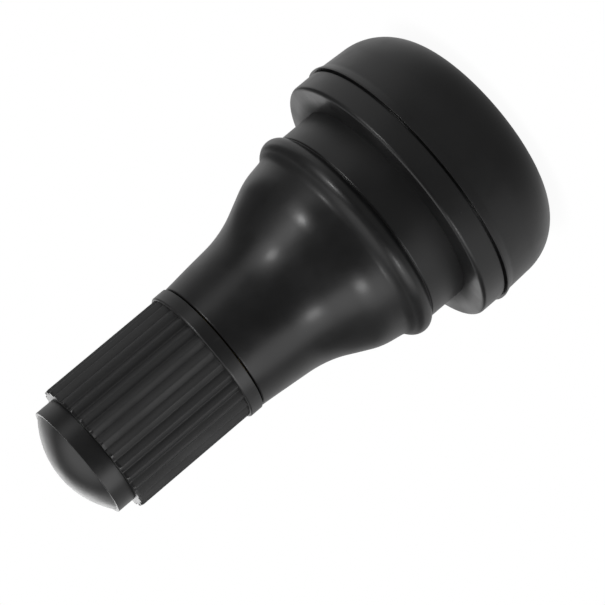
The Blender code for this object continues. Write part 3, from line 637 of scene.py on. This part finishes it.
def metal_material(name, colour, tarnish, roughness, pitch, crevices, veil, bump):
    """Turned or plated metal: tool marks run round it and tarnish sits in its corners."""
    made, tree, shader = start_material(name)
    if tree is None:
        return made
    marks = use_group(tree, "turning_marks", Pitch=pitch)
    dull = use_group(tree, "tarnish", Crevices=crevices, Veil=veil)["Mask"]
    tone = mix_colour(tree, marks["Tone"], (*colour, 1.0), (*(MARK_TONE * c for c in colour), 1.0))
    tree.links.new(mix_colour(tree, dull, tone, (*tarnish, 1.0)), shader.inputs["Base Color"])
    shader.inputs["Metallic"].default_value = 1.0
    rough = ramp(tree, marks["Tone"], 0.0, 1.0, roughness - SMOOTHER, roughness + ROUGHER)
    rough = math_node(tree, "ADD", rough, times(tree, dull, 0.25), clamp=True)
    tree.links.new(rough, shader.inputs["Roughness"])
    bumped(tree, shader, marks["Height"], bump, 0.000004)
    return made


def black_rubber(scene):
    s = scene.valve_rubber
    return moulded_material(
        "black_rubber", s.colour, s.bloom, s.roughness,
        grain=9000.0, edge=0.2, bump=0.2, gloss=0.22, matt=0.25)


def black_plastic(scene):
    s = scene.valve_cap
    lighter = tuple(1.5 * c for c in s.colour)
    return moulded_material(
        "black_plastic", s.colour, lighter, s.roughness,
        grain=14000.0, edge=0.3, bump=0.1, specular=0.75, matt=s.rib_matt, top=s.rib_highlight_colour)


def soft_rubber(scene):
    s = scene.valve_core
    lighter = tuple(1.8 * c for c in s.seal_colour)
    return moulded_material(
        "soft_rubber", s.seal_colour, lighter, 0.58, grain=16000.0, edge=0.3, bump=0.3)


def bright_brass(scene):
    s = scene.valve_brass
    return metal_material(
        "bright_brass", s.colour, s.tarnish, s.roughness, pitch=26000.0, crevices=0.45, veil=0.10, bump=0.35)


def plain_brass(scene):
    s = scene.valve_brass
    return metal_material(
        "plain_brass", s.core_colour, s.tarnish, s.roughness + 0.06,
        pitch=34000.0, crevices=0.8, veil=0.25, bump=0.4)


def nickel_plate(scene):
    return metal_material(
        "nickel_plate", scene.valve_core.pin_colour, (0.25, 0.24, 0.21), 0.2,
        pitch=40000.0, crevices=0.6, veil=0.15, bump=0.25)


def drawn_steel(scene):
    return metal_material(
        "drawn_steel", scene.valve_core.wire_colour, (0.12, 0.10, 0.08), 0.3,
        pitch=60000.0, crevices=0.6, veil=0.3, bump=0.3)


# Outlines of the rubber

def grip_points(gap):
    """The stem's skin inside the rubber from the flange's edge up to the sunk collar, grown by gap.

    Three grooves with slanted sides are cut into the plain body, one pitch apart.
    """
    body, flange_top = 0.0036 + gap, STEM_FOOT + FLANGE_THICKNESS
    body_low, groove_pitch = flange_top + 0.0014, 0.0022
    collar_low = RUBBER_END - 0.0007
    groove = np.array([[0.0, 0.0], [-0.0003, 0.0003], [-0.0003, 0.0008], [0.0, 0.0011]])
    lows = body_low + 0.0012 + groove_pitch * np.arange(3)
    cuts = groove[None] + np.stack([np.full(3, body), lows], -1)[:, None]
    return np.vstack([
        [(FLANGE_RADIUS + gap, flange_top), (body, body_low)],
        cuts.reshape(-1, 2),
        [(body, collar_low - 0.00035), (COLLAR_RADIUS + gap, collar_low)],
    ])


def rubber_outside(s):
    """The rubber's outline from its base, up over head, lip, neck, bead and bell, to the sleeve's end.

    Also gives the heights of the shoulder, of the bead's end and of the valley behind the bead.
    """
    head, neck, bead = s.head_radius, s.neck_radius, s.bead_radius
    shoulder, bead_low, bead_end_deg = 0.00785, 0.01058, 55.0
    lip, crease = head + s.lip_rise, head - s.crease_depth
    lip_top = shoulder - 0.00185
    base_r, base_z = 0.0036, 0.00375
    base = ellipse_arc((head - 0.00368, base_z), (base_r, base_z), -90.0, 0.0, 26)
    # The bead's arc starts where its circle meets the neck and ends where the bell's slope takes over
    crest = neck + 0.00043
    start = -math.acos((neck - crest + bead) / bead)
    centre = (crest - bead, bead_low - bead * math.sin(start))
    bead_arc = ellipse_arc(centre, (bead, bead), math.degrees(start), bead_end_deg, 22)
    end_r, end_z = bead_arc[-1]
    bell = crest - 0.00066
    valley = end_z + (end_r - bell) / math.tan(math.radians(bead_end_deg))
    sleeve_end, sleeve, draft_deg = 0.00472, 0.00508, 5.5
    sleeve_foot = sleeve_end + sleeve * math.tan(math.radians(draft_deg))
    corners = np.vstack([
        sharp(base),
        [(head, lip_top - 0.0006, 0.0008), (lip, lip_top - 0.00012, 0.00006), (lip, lip_top, 0.000015)],
        sharp([(crease, lip_top - 0.00007), (crease, lip_top + 0.00005)]),
        [(head, lip_top + 0.00012, 0.00004), (head, shoulder, 0.00026), (neck, shoulder, 0.0)],
        [(neck, bead_low - 0.00012, 0.0001), (neck - 0.00007, bead_low - 0.00003, 0.00003)],
        sharp(bead_arc),
        [(bell, valley, 0.0015), (bell - 0.00031, valley + 0.0018, 0.005)],
        [(sleeve_foot, RUBBER_END - sleeve, 0.0077), (sleeve_end, RUBBER_END, 0.00012)],
        # The last three only close the outline for its fillets
        sharp([(COLLAR_RADIUS + GAP, RUBBER_END), (0.002, 0.01), (0.0045, 0.0)]),
    ])
    return shored(rounded(corners)[:-3]), shoulder, end_z, valley


def rubber_inside():
    """The rubber's outline from the sleeve's end, down along the stem and through the recess to the base."""
    recess, recess_top, recess_draft_deg = 0.0044, 0.0047, 9.0
    hole, bed = 0.0023, STEM_FOOT - GAP
    recess_end = recess - recess_top * math.tan(math.radians(recess_draft_deg))
    return rounded(np.vstack([
        sharp([(COLLAR_RADIUS + GAP, RUBBER_END)]),
        sharp(grip_points(GAP)[::-1]),
        sharp([(FLANGE_RADIUS + GAP, bed), (hole, bed), (hole, recess_top)]),
        [(recess_end, recess_top, 0.0003), (recess, 0.0, 0.0004)],
        # The last two only close the outline for its fillets
        sharp([(0.0056, 0.0), (0.008, 0.01)]),
    ]))[:-2]


def mould_ripple(height, angles):
    """Slight unevenness of a moulded skin, from -1 to 1: a few sine waves across the angle and the height."""
    # Waves round the axis, radians for each metre of height, and shift
    waves = ((3, 620.0, 0.4), (5, 1150.0, 1.9), (7, 1730.0, 4.1), (11, 900.0, 2.7), (4, 2300.0, 5.2))
    total = sum(np.sin(n * angles + k * height + shift) for n, k, shift in waves)
    return total / len(waves)


# Operators, one for each piece or group of like pieces

class VALVE_OT_rubber_body(bpy.types.Operator):
    """Head, lip, neck, bead, bell and sleeve in one rubber moulding"""
    bl_idname = "valve.rubber_body"
    bl_label = "Rubber body"

    def execute(self, context):
        s = context.scene.valve_rubber
        outside, shoulder, bead_end, valley = rubber_outside(s)
        r, z = outside.T
        angles = columns(BODY_COLUMNS)
        # The skin is duller on the shoulder and the neck's foot, and in the valley behind the bead
        dull_foot = (1.0 - ease(r, s.neck_radius, 0.0012)) * (1.0 - ease(z, shoulder, 0.0020))
        dull_foot *= z > shoulder - 0.000002
        dull_valley = 0.6 * (1.0 - ease(np.abs(z - valley), 0.0, 0.0009))
        skin = patch(r, z, angles, MATT_DEPTH * np.maximum(dull_foot, dull_valley))
        # The ripple fades out at both ends and is strongest on the bell
        fade = ease(z, 0.0005, 0.002) * ease(RUBBER_END - z, 0.0, 0.001)
        fade *= 0.35 + 0.65 * ease(z, bead_end, 0.001)
        lift = s.ripple * fade[:, None] * mould_ripple(z[:, None], angles)
        skin[..., :2] += lift[..., None] * unit(angles)
        shell = [skin, outline_patch(rubber_inside(), angles)]
        place(add_skin("rubber_moulding", [shell], black_rubber(context.scene)),
              "stem", "rubber_body")
        return {"FINISHED"}


class VALVE_OT_brass_stem(bpy.types.Operator):
    """The turned stem: flange, grip grooves, collar, outer thread for the cap, inner thread for the core"""
    bl_idname = "valve.brass_stem"
    bl_label = "Brass stem"

    def execute(self, context):
        s = context.scene.valve_brass
        angles = columns(TURNED_COLUMNS)
        crest, relief, rim, mouth, bore = 0.00385, 0.00335, 0.00325, 0.00285, 0.00265
        relief_low = RUBBER_END + 0.00035
        thread_low = relief_low + 0.00045
        outer = outer_thread(
            crest, s.thread_depth, thread_low, STEM_TOP, STEM_PITCH, STEM_TOP, relief, rim, angles)
        plug_stop = PLUG_LOW - 0.0003
        inner = inner_thread(
            bore, s.core_thread_depth, plug_stop, STEM_TOP, CORE_PITCH, STEM_TOP, bore, mouth, angles)
        flange_edge = 0.0001
        # The first and the last corner only close the outline for its fillets
        foot = rounded(np.vstack([
            sharp([(CONE_NARROW, 0.02), (CONE_NARROW, STEM_FOOT + 0.0003), (0.0022, STEM_FOOT)]),
            [(FLANGE_RADIUS, STEM_FOOT, flange_edge)],
            [(FLANGE_RADIUS, STEM_FOOT + FLANGE_THICKNESS, flange_edge)],
            sharp(grip_points(0.0)[1:]),
            [(COLLAR_RADIUS, relief_low, 0.00005), (relief, relief_low, 0.00008)],
            sharp([(relief, thread_low), (0.0, 0.03)]),
        ]))[1:-1]
        seat = np.array([(CONE_WIDE, plug_stop), (CONE_WIDE, CONE_TOP), (CONE_NARROW, CONE_FOOT)])
        shell = [outline_patch(foot, angles), outer, inner, outline_patch(seat, angles, 0.4)]
        place(add_skin("stem_turning", [shell], bright_brass(context.scene)),
              "stem", "brass_stem")
        return {"FINISHED"}


class VALVE_OT_screw_cap(bpy.types.Operator):
    """The plastic cap: collar, ribbed skirt, stepped crown and dome, threaded inside"""
    bl_idname = "valve.screw_cap"
    bl_label = "Screw cap"

    def execute(self, context):
        s = context.scene.valve_cap
        fine, coarse = columns(s.rib_count * RIB_COLUMNS), columns(s.rib_count * CAP_COLUMNS)
        rib, collar, crown = 0.00465, 0.0048, 0.00398
        collar_top, rib_end = CAP_MOUTH + 0.00095, STEM_TOP + 0.0003
        crown_rim = rib_end + 0.0013
        # A groove's depth is a triangle wave of the angle with rounded tips, arcsin(k cos(n a)) / arcsin(k)
        wave = np.arcsin(s.rib_edge * np.cos(s.rib_count * (fine - s.rib_turn))) / math.asin(s.rib_edge)
        groove = s.rib_depth * (0.5 + 0.5 * wave)
        # In this outline and the top's, the corners near the axis only close it for its fillets
        bevel_r, bevel_z, inner = 0.00005, 0.00016, 0.0042
        skirt = shored(rounded([
            (inner, CAP_MOUTH, 0.0), (collar, CAP_MOUTH, 0.00003), (collar, collar_top, s.collar_fillet),
            (rib, collar_top, 0.00001), (rib, rib_end - bevel_z, 0.0), (rib - bevel_r, rib_end, 0.00002),
            (inner, rib_end, 0.0),
        ])[1:-1])
        r, z = skirt.T
        ribbed = (z > collar_top - 0.000001) & (r < rib + 0.00004)
        shown = np.where(ribbed[:, None], np.minimum(r[:, None], rib - groove), r[:, None])
        # The ribs are matt all over, up to their bevel, and painted lighter on their tops as a painted
        # highlight
        matt = ribbed & (z < rib_end - bevel_z - 0.00001)
        # Crevice value from MATT_DEPTH on a rib's top to 1 in a groove's floor; the tops take the painted
        # highlight
        highlighted = MATT_DEPTH + (1.0 - MATT_DEPTH) * groove / s.rib_depth
        outside = patch(shown, z, fine, matt[:, None] * highlighted)
        top = rounded(np.vstack([
            [(0.003, rib_end, 0.0), (crown, rib_end, 0.00003), (crown, crown_rim, 0.00002)],
            sharp(dome(CAP_TIP, crown - s.ledge, CAP_TIP - crown_rim, 30)),
        ]))[1:]

        # Inside: a domed ceiling, the washer's room, the thread and its lead-in
        ceiling, room, root, mouth = 0.00255, 0.00335, 0.00395, 0.00415
        room_top = WASHER_HIGH + GAP
        thread_low, thread_high = CAP_MOUTH + 0.0008, STEM_TOP - 0.0007 + 0.00007 * math.sqrt(2.0)
        hollow = np.vstack([
            dome(CAP_TIP - 0.00095, ceiling, 0.00035, 8)[::-1],
            [(ceiling, room_top), (room, room_top), (room, thread_high + 0.0006)],
        ])
        lead_in = np.array([(mouth, thread_low), (mouth, CAP_MOUTH + 0.0001), (mouth + 0.0001, CAP_MOUTH)])
        bore = inner_thread(
            root, context.scene.valve_brass.thread_depth, thread_low, thread_high,
            STEM_PITCH, STEM_TOP + STEM_PITCH / 2.0, mouth, root, coarse)
        top, hollow, lead_in = (outline_patch(points, coarse) for points in (top, hollow, lead_in))
        place(add_skin("cap_moulding", [[outside, top, hollow, bore, lead_in]], black_plastic(context.scene)),
              "cap", "valve_cap")
        return {"FINISHED"}


def ring_corners(inner, outer, low, high):
    """The section of a plain ring with soft edges."""
    return [(r, z, SOFT_EDGE) for r, z in ((outer, low), (outer, high), (inner, high), (inner, low))]


class VALVE_OT_seals(bpy.types.Operator):
    """The washer in the cap, the ring on the barrel and the disc in the cup"""
    bl_idname = "valve.seals"
    bl_label = "Seals"

    def execute(self, context):
        # The ring's cone lies a gap inside the stem's, and ends where it reaches the ring's own radius
        inner, outer, slope = 0.0017, 0.0022, (CONE_WIDE - CONE_NARROW) / (CONE_TOP - CONE_FOOT)
        offset = GAP * math.hypot(1.0, slope)
        narrow = CONE_NARROW - offset
        cone_high = CONE_TOP - (CONE_WIDE - offset - outer) / slope
        ring = [
            (inner, GASKET_LOW, SOFT_EDGE), (narrow, GASKET_LOW, SOFT_EDGE), (narrow, CONE_FOOT, SOFT_EDGE),
            (outer, cone_high, 0.0002), (outer, GASKET_HIGH, SOFT_EDGE), (inner, GASKET_HIGH, SOFT_EDGE),
        ]
        washer = ring_corners(0.00275, 0.00325, WASHER_LOW, WASHER_HIGH)
        disc = ring_corners(PIN_HOLE, 0.0013, SEAL_LOW, SEAL_HIGH)
        finish = soft_rubber(context.scene)
        for name, corners, body, slot, node in (
            ("washer_ring", washer, "washer", "washer_rubber", "cap_washer"),
            ("gasket_ring", ring, "barrel", "seal_rubber", "core_gasket"),
            ("seal_disc", disc, "pin", "seal_rubber", "cup_seal"),
        ):
            turned_piece(name, corners, 0.0, finish, body, node)
        return {"FINISHED"}


class VALVE_OT_core_plug(bpy.types.Operator):
    """The core's threaded plug and the bridge across it that a key grips"""
    bl_idname = "valve.core_plug"
    bl_label = "Core plug"

    def execute(self, context):
        depth = context.scene.valve_brass.core_thread_depth
        half = context.scene.valve_core.bridge_width / 2.0
        angles = columns(CORE_COLUMNS)
        crest, ring, foot, cavity, neck_hole = 0.00255, 0.00235, 0.00215, 0.00195, 0.00135
        ring_top, cavity_low = PLUG_HIGH - 0.0015, PLUG_LOW + 0.0006
        # Under the ring the thread's root runs out steeply to the ring's own radius
        z, rise = thread_rows(PLUG_LOW, ring_top, CORE_PITCH, STEM_TOP + CORE_PITCH / 2.0, angles)
        end_cone = np.minimum(foot + z - PLUG_LOW, ring + ring_top - z)
        run_out = ring - 4.0 * (ring_top - z)
        radius = np.maximum(np.minimum(crest - depth * (1.0 - rise), end_cone), run_out)
        outer = patch(radius, z, angles, 1.0 - rise)
        hollow = [(cavity, ring_top), (cavity, cavity_low), (neck_hole, cavity_low), (neck_hole, PLUG_LOW)]
        threaded = [outer, outline_patch(np.array(hollow), angles, 0.7)]

        # The bridge is a bar: in plan its edge is the nearer of a circle and the line y = half its width,
        # which lies at half / sin(a) from the axis. Its ends stand on the ring and its middle is clear of
        # the cavity.
        foot_in, foot_z, under = 0.00193, ring_top - GAP, ring_top + 0.0003
        # Its underside steps down where it meets the ring, between two columns a hair apart
        step, hair = math.asin(half / foot_in), 0.0002
        breaks = np.array([step - hair, step, math.asin(half / ring)])
        around = [angles, breaks, math.pi - breaks, math.pi + breaks, TAU - breaks]
        around = np.unique(np.concatenate(around))
        sine = np.maximum(np.abs(np.sin(around)), 1e-6)
        rounding = 1.00001
        skirt = np.where(half / sine > foot_in * rounding, foot_z, under)
        hole, hole_rim = 0.000615, 0.0007
        # Rows from the hole's foot, up, out over the top with its rounded edge, and back underneath:
        # how far out a row may lie, how far it stands back from the bar's side, and its height
        rows = (
            (hole, 0.0, under), (hole, 0.0, PLUG_HIGH - 0.00008), (hole_rim, 0.0, PLUG_HIGH),
            (0.00217, 0.00011, PLUG_HIGH), (0.0023, 0.00003, PLUG_HIGH - 0.00004),
            (ring, 0.0, PLUG_HIGH - 0.00013), (ring, 0.0, skirt),
            (foot_in, 0.0, skirt), (foot_in, 0.0, under),
        )
        radius = np.stack([np.minimum(limit, (half - back) / sine) for limit, back, _ in rows])
        height = np.stack([level + 0.0 * sine for _, _, level in rows])
        bridge = [patch(radius, height, around, 0.1)]
        place(add_skin("plug_turning", [threaded, bridge], plain_brass(context.scene)),
              "plug", "core_plug")
        return {"FINISHED"}


class VALVE_OT_core_barrel(bpy.types.Operator):
    """The barrel: a flared neck that swivels in the plug, the seat of its ring and the spring's chamber"""
    bl_idname = "valve.core_barrel"
    bl_label = "Core barrel"

    def execute(self, context):
        neck, flare, body, groove, lip, tail = 0.00125, 0.0018, 0.002, 0.00165, 0.00178, 0.0016
        bore, chamber, foot_hole, edge = 0.0009, 0.0013, 0.00075, SOFT_EDGE
        flare_low, shoulder = BARREL_HIGH - 0.0005, PLUG_LOW - 0.0001
        seat_top, seat_low = GASKET_HIGH + GAP, GASKET_LOW - GAP
        lip_low, chamber_top, chamber_low = seat_low - 0.0004, shoulder - 0.0012, BARREL_LOW + 0.0006
        corners = [
            (bore, BARREL_HIGH, 0.0), (neck, BARREL_HIGH, edge), (flare, flare_low + 0.00025, edge),
            (flare, flare_low, edge), (neck, flare_low, edge), (neck, shoulder, edge), (body, shoulder, edge),
            (body, seat_top, edge), (groove, seat_top, 0.0), (groove, seat_low, 0.0), (lip, seat_low, edge),
            (lip, lip_low, edge), (tail, lip_low, 0.0), (tail, BARREL_LOW, 0.00015),
            (foot_hole, BARREL_LOW, edge), (foot_hole, chamber_low, edge), (chamber, chamber_low, 0.0),
            (chamber, chamber_top, 0.0), (bore, chamber_top, edge),
        ]
        finish = plain_brass(context.scene)
        turned_piece("barrel_turning", corners, 0.25, finish, "barrel", "core_barrel")
        return {"FINISHED"}


class VALVE_OT_core_pin(bpy.types.Operator):
    """The plated pin with its head, spring collar and staked foot, and the pressed cup on it"""
    bl_idname = "valve.core_pin"
    bl_label = "Core pin and cup"

    def execute(self, context):
        head, collar, stake = 0.0008, 0.0011, 0.0008
        head_low, collar_low, stake_high = PIN_HIGH - 0.0005, SPRING_HIGH + GAP, CUP_LOW - GAP
        collar_high = collar_low + 0.0005
        corners = [
            (0.0, PIN_HIGH, 0.0), (head, PIN_HIGH, 0.0003), (head, head_low, 0.00005),
            (PIN_RADIUS, head_low, 0.0), (PIN_RADIUS, collar_high, 0.0), (collar, collar_high, SOFT_EDGE),
            (collar, collar_low, SOFT_EDGE), (PIN_RADIUS, collar_low, 0.0), (PIN_RADIUS, stake_high, 0.0),
            (stake, stake_high, 0.0001), (PIN_RADIUS, PIN_LOW, 0.0001), (0.0, PIN_LOW, 0.0),
        ]
        plated, plain = nickel_plate(context.scene), plain_brass(context.scene)
        turned_piece("pin_turning", corners, 0.1, plated, "pin", "core_pin")
        outer, inner, edge = 0.0015, 0.00135, 0.00005
        floor = CUP_LOW + 0.0003
        walls = [
            (outer, CUP_HIGH, edge), (outer, CUP_LOW, 0.00025), (PIN_HOLE, CUP_LOW, edge),
            (PIN_HOLE, floor, edge), (inner, floor, 0.0), (inner, CUP_HIGH, edge),
        ]
        turned_piece("cup_pressing", walls, 0.2, plain, "pin", "pin_cup")
        return {"FINISHED"}


class VALVE_OT_core_spring(bpy.types.Operator):
    """The coil spring round the pin, with a closed turn at each end"""
    bl_idname = "valve.core_spring"
    bl_label = "Core spring"

    def execute(self, context):
        s = context.scene.valve_core
        wire, coil, end_pitch = s.wire_radius, 0.00095, 0.00032
        low, high = SPRING_LOW + wire, SPRING_HIGH - wire
        # Height rises by end_pitch over the first and the last turn and evenly between them
        turn = np.linspace(0.0, s.spring_turns, round(s.spring_turns * COIL_ROWS) + 1)
        closed = np.minimum(turn, 1.0) + np.maximum(turn - s.spring_turns + 1.0, 0.0)
        pitch = (high - low - 2.0 * end_pitch) / (s.spring_turns - 2.0)
        outward = np.column_stack([unit(TAU * turn), np.zeros_like(turn)])
        path = coil * outward
        path[:, 2] = low + closed * end_pitch + (turn - closed) * pitch
        along = np.gradient(path, axis=0)
        along /= np.linalg.norm(along, axis=1, keepdims=True)
        upward = np.cross(outward, along)
        # The wire's section is a circle about the path, drawn in to a point at both ends
        section = columns(WIRE_COLUMNS)
        radius = np.concatenate([[0.0], np.full(len(turn), wire), [0.0]])[:, None, None]
        take = np.concatenate([[0], np.arange(len(turn)), [len(turn) - 1]])
        ring = outward[take, None] * np.cos(section)[:, None] + upward[take, None] * np.sin(section)[:, None]
        tube = path[take, None] + radius * ring
        points = tube.reshape(-1, 3)
        deep = np.full(len(points), 0.2)
        piece = add_piece("spring_coil", points, grid_faces(tube), drawn_steel(context.scene), deep)
        place(piece, "barrel", "core_spring")
        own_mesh(piece)
        return {"FINISHED"}


class VALVE_OT_studio(bpy.types.Operator):
    """Pale floor, white backdrop, soft lights and the camera"""
    bl_idname = "valve.studio"
    bl_label = "Studio"

    def execute(self, context):
        s = context.scene.valve_studio
        add_floor(s)
        add_world(s)
        middle, tip = Vector((0.0, 0.0, 0.015)), Vector((0.0, 0.0, CAP_TIP))
        far, near, rim = 0.3, 0.040, (0.030, 0.020)
        add_light("right_key", middle, (0.650, -0.640, 0.420), far, (0.045, 0.045), s.right_key, "DISK")
        add_light("left_key", middle, (-0.760, -0.560, 0.330), far, (0.065, 0.065), s.left_key, "DISK")
        add_light("right_rim", tip, (0.50, 0.74, 0.45), near, rim, s.rim_light)
        add_light("left_rim", tip, (-0.50, 0.74, 0.45), near, rim, s.rim_light)
        add_light("tip", tip, (0.0, 0.95, 0.30), near, (0.030, 0.018), s.tip_light)
        add_camera(s)
        return {"FINISHED"}


def white_glow(tree, kind, strength):
    """A white emission or background."""
    return add_node(tree, kind, {"Color": WHITE, "Strength": strength})


def from_front(tree, x, y):
    """The angle round the axis from the camera's side, 0 to pi to either side."""
    return math_node(tree, "ARCTAN2", math_node(tree, "ABSOLUTE", x), times(tree, y, -1.0))


def by_camera_ray(tree, others, camera):
    """One shader for what the camera sees directly, and another for light and reflections."""
    seen = add_node(tree, "ShaderNodeLightPath").outputs["Is Camera Ray"]
    inputs = {0: seen, 1: others.outputs[0], 2: camera.outputs[0]}
    return add_node(tree, "ShaderNodeMixShader", inputs).outputs[0]


def add_floor(s):
    """A round pale plate under the valve. The camera sees it white but for a faint contact shade.

    In reflections it is dim in front of the valve and grows bright behind it. From below it is clear.
    """
    made = bpy.data.materials.new("studio_floor")
    made.use_nodes = True
    tree = made.node_tree
    tree.nodes.remove(tree.nodes["Principled BSDF"])
    contact = add_node(tree, "ShaderNodeAmbientOcclusion", {"Distance": 0.0015}, samples=8)
    shade = ramp(tree, contact.outputs["AO"], 0.0, 1.0, 0.95, 1.0)
    white = white_glow(tree, "ShaderNodeEmission", shade)
    x, y, _ = axes(tree, object_place(tree))
    glow = ramp(tree, from_front(tree, x, y), 0.4, 1.3, s.plate, s.backdrop)
    lit = white_glow(tree, "ShaderNodeEmission", glow)
    above = by_camera_ray(tree, lit, white)
    clear = add_node(tree, "ShaderNodeBsdfTransparent").outputs[0]
    below = add_node(tree, "ShaderNodeNewGeometry").outputs["Backfacing"]
    mixed = add_node(tree, "ShaderNodeMixShader", {0: below, 1: above, 2: clear})
    tree.links.new(mixed.outputs[0], tree.nodes["Material Output"].inputs["Surface"])
    rings, depth = np.linspace(0.0, 0.07, 4), -0.00001
    disc = patch(rings, np.full(len(rings), depth), columns(FLOOR_COLUMNS))
    floor = add_piece("floor", disc.reshape(-1, 4)[:, :3], grid_faces(disc), made)
    if floor.data.polygons[0].normal.z < 0.0:
        floor.data.flip_normals()


def add_world(s):
    """White to the camera. In reflections, two tall softboxes, a light overhead and a backdrop behind.

    Directions are taken by their angle round the axis from the camera's side, 0 to pi, and by
    their height, -1 to 1.
    """
    world = bpy.data.worlds.new("studio")
    bpy.context.scene.world = world
    world.use_nodes = True
    tree = world.node_tree
    tree.nodes.clear()
    x, y, height = axes(tree, add_node(tree, "ShaderNodeTexCoord").outputs["Generated"])
    around = from_front(tree, x, y)
    # The softboxes stand upright on either side of the camera, and the right one is dimmer at its foot
    left = ramp(tree, x, -0.05, 0.05, s.left_box, 0.0)
    left = times(tree, left, window(tree, around, 0.70, 0.95, 1.30, 1.65))
    right = ramp(tree, height, -0.3, 0.7, 0.3 * s.right_box, s.right_box)
    right = times(tree, ramp(tree, x, -0.05, 0.05), right)
    right = times(tree, right, window(tree, around, 0.70, 0.95, 1.00, 1.35))
    boxes = times(tree, window(tree, height, -0.6, -0.3, 0.65, 0.85), math_node(tree, "ADD", left, right))
    # The backdrop is low behind the valve, with one more softbox over it
    low = ramp(tree, height, -0.05, 0.12, 1.0, 0.0)
    backdrop = times(tree, ramp(tree, around, 1.3, 2.3, 0.0, s.backdrop), low)
    backdrop = times(tree, backdrop, ramp(tree, x, -0.3, 0.3, 0.85, 1.0))
    back_box = ramp(tree, around, 2.6, 2.9, 0.0, s.back_box)
    back_box = times(tree, back_box, window(tree, height, 0.0, 0.14, 0.3, 0.45))
    strength = s.room
    for part in (boxes, ramp(tree, height, 0.78, 0.97, 0.0, s.overhead), backdrop, back_box):
        strength = math_node(tree, "ADD", part, strength)
    room = white_glow(tree, "ShaderNodeBackground", strength)
    white = white_glow(tree, "ShaderNodeBackground", 1.0)
    result = add_node(tree, "ShaderNodeOutputWorld")
    tree.links.new(by_camera_ray(tree, room, white), result.inputs["Surface"])
    bpy.context.scene.view_settings.view_transform = "Standard"


def add_light(name, aim, direction, distance, size, power, shape="RECTANGLE"):
    """A flat light that faces the point aim from a distance along a direction."""
    lamp = bpy.data.lights.new(name, "AREA")
    lamp.shape = shape
    lamp.size, lamp.size_y = size
    lamp.energy = power
    made = add_object(name, lamp)
    toward = Vector(direction).normalized()
    made.location = aim + toward * distance
    made.rotation_euler = toward.to_track_quat("Z", "Y").to_euler()
    made.visible_camera = False


def add_camera(s):
    """The camera looks from -Y at its target, down by its elevation, rolled about its line of sight."""
    lens = bpy.data.cameras.new("camera")
    lens.sensor_width = 36.0
    lens.lens = s.lens
    lens.clip_start, lens.clip_end = 0.01, 10.0
    made = add_object("camera", lens)
    tilt = Matrix.Rotation(math.pi / 2.0 - s.camera_elevation, 4, "X")
    roll = Matrix.Rotation(-s.camera_roll, 4, "Z")
    back = Matrix.Translation((0.0, 0.0, s.camera_distance))
    made.matrix_world = Matrix.Translation(Vector(s.camera_target)) @ tilt @ roll @ back
    bpy.context.scene.camera = made


class VALVE_PT_panel(bpy.types.Panel):
    """Lists the valve's pieces and their settings"""
    bl_idname = "VALVE_PT_panel"
    bl_label = "Tyre valve"
    bl_space_type = "VIEW_3D"
    bl_region_type = "UI"
    bl_category = "Tyre valve"

    def draw(self, context):
        for operator in OPERATORS:
            self.layout.operator(operator.bl_idname)
        for name in SETTINGS:
            box = self.layout.box()
            box.label(text=name.replace("_", " ").capitalize())
            group = getattr(context.scene, name)
            for key in group.bl_rna.properties.keys():
                if key not in ("name", "rna_type"):
                    box.prop(group, key)


SETTINGS = {
    "valve_rubber": RubberSettings, "valve_cap": CapSettings, "valve_brass": BrassSettings,
    "valve_core": CoreSettings, "valve_studio": StudioSettings,
}
OPERATORS = (
    VALVE_OT_rubber_body, VALVE_OT_brass_stem, VALVE_OT_screw_cap, VALVE_OT_seals, VALVE_OT_core_plug,
    VALVE_OT_core_barrel, VALVE_OT_core_pin, VALVE_OT_core_spring, VALVE_OT_studio,
)


def register():
    for group in SETTINGS.values():
        bpy.utils.register_class(group)
    for made in (*OPERATORS, VALVE_PT_panel):
        bpy.utils.register_class(made)
    for name, group in SETTINGS.items():
        setattr(bpy.types.Scene, name, PointerProperty(type=group))


def unregister():
    for name in SETTINGS:
        delattr(bpy.types.Scene, name)
    for made in (VALVE_PT_panel, *reversed(OPERATORS), *SETTINGS.values()):
        bpy.utils.unregister_class(made)


def main():
    register()
    for operator in OPERATORS:
        category, name = operator.bl_idname.split(".")
        getattr(getattr(bpy.ops, category), name)()


if __name__ == "__main__":
    main()
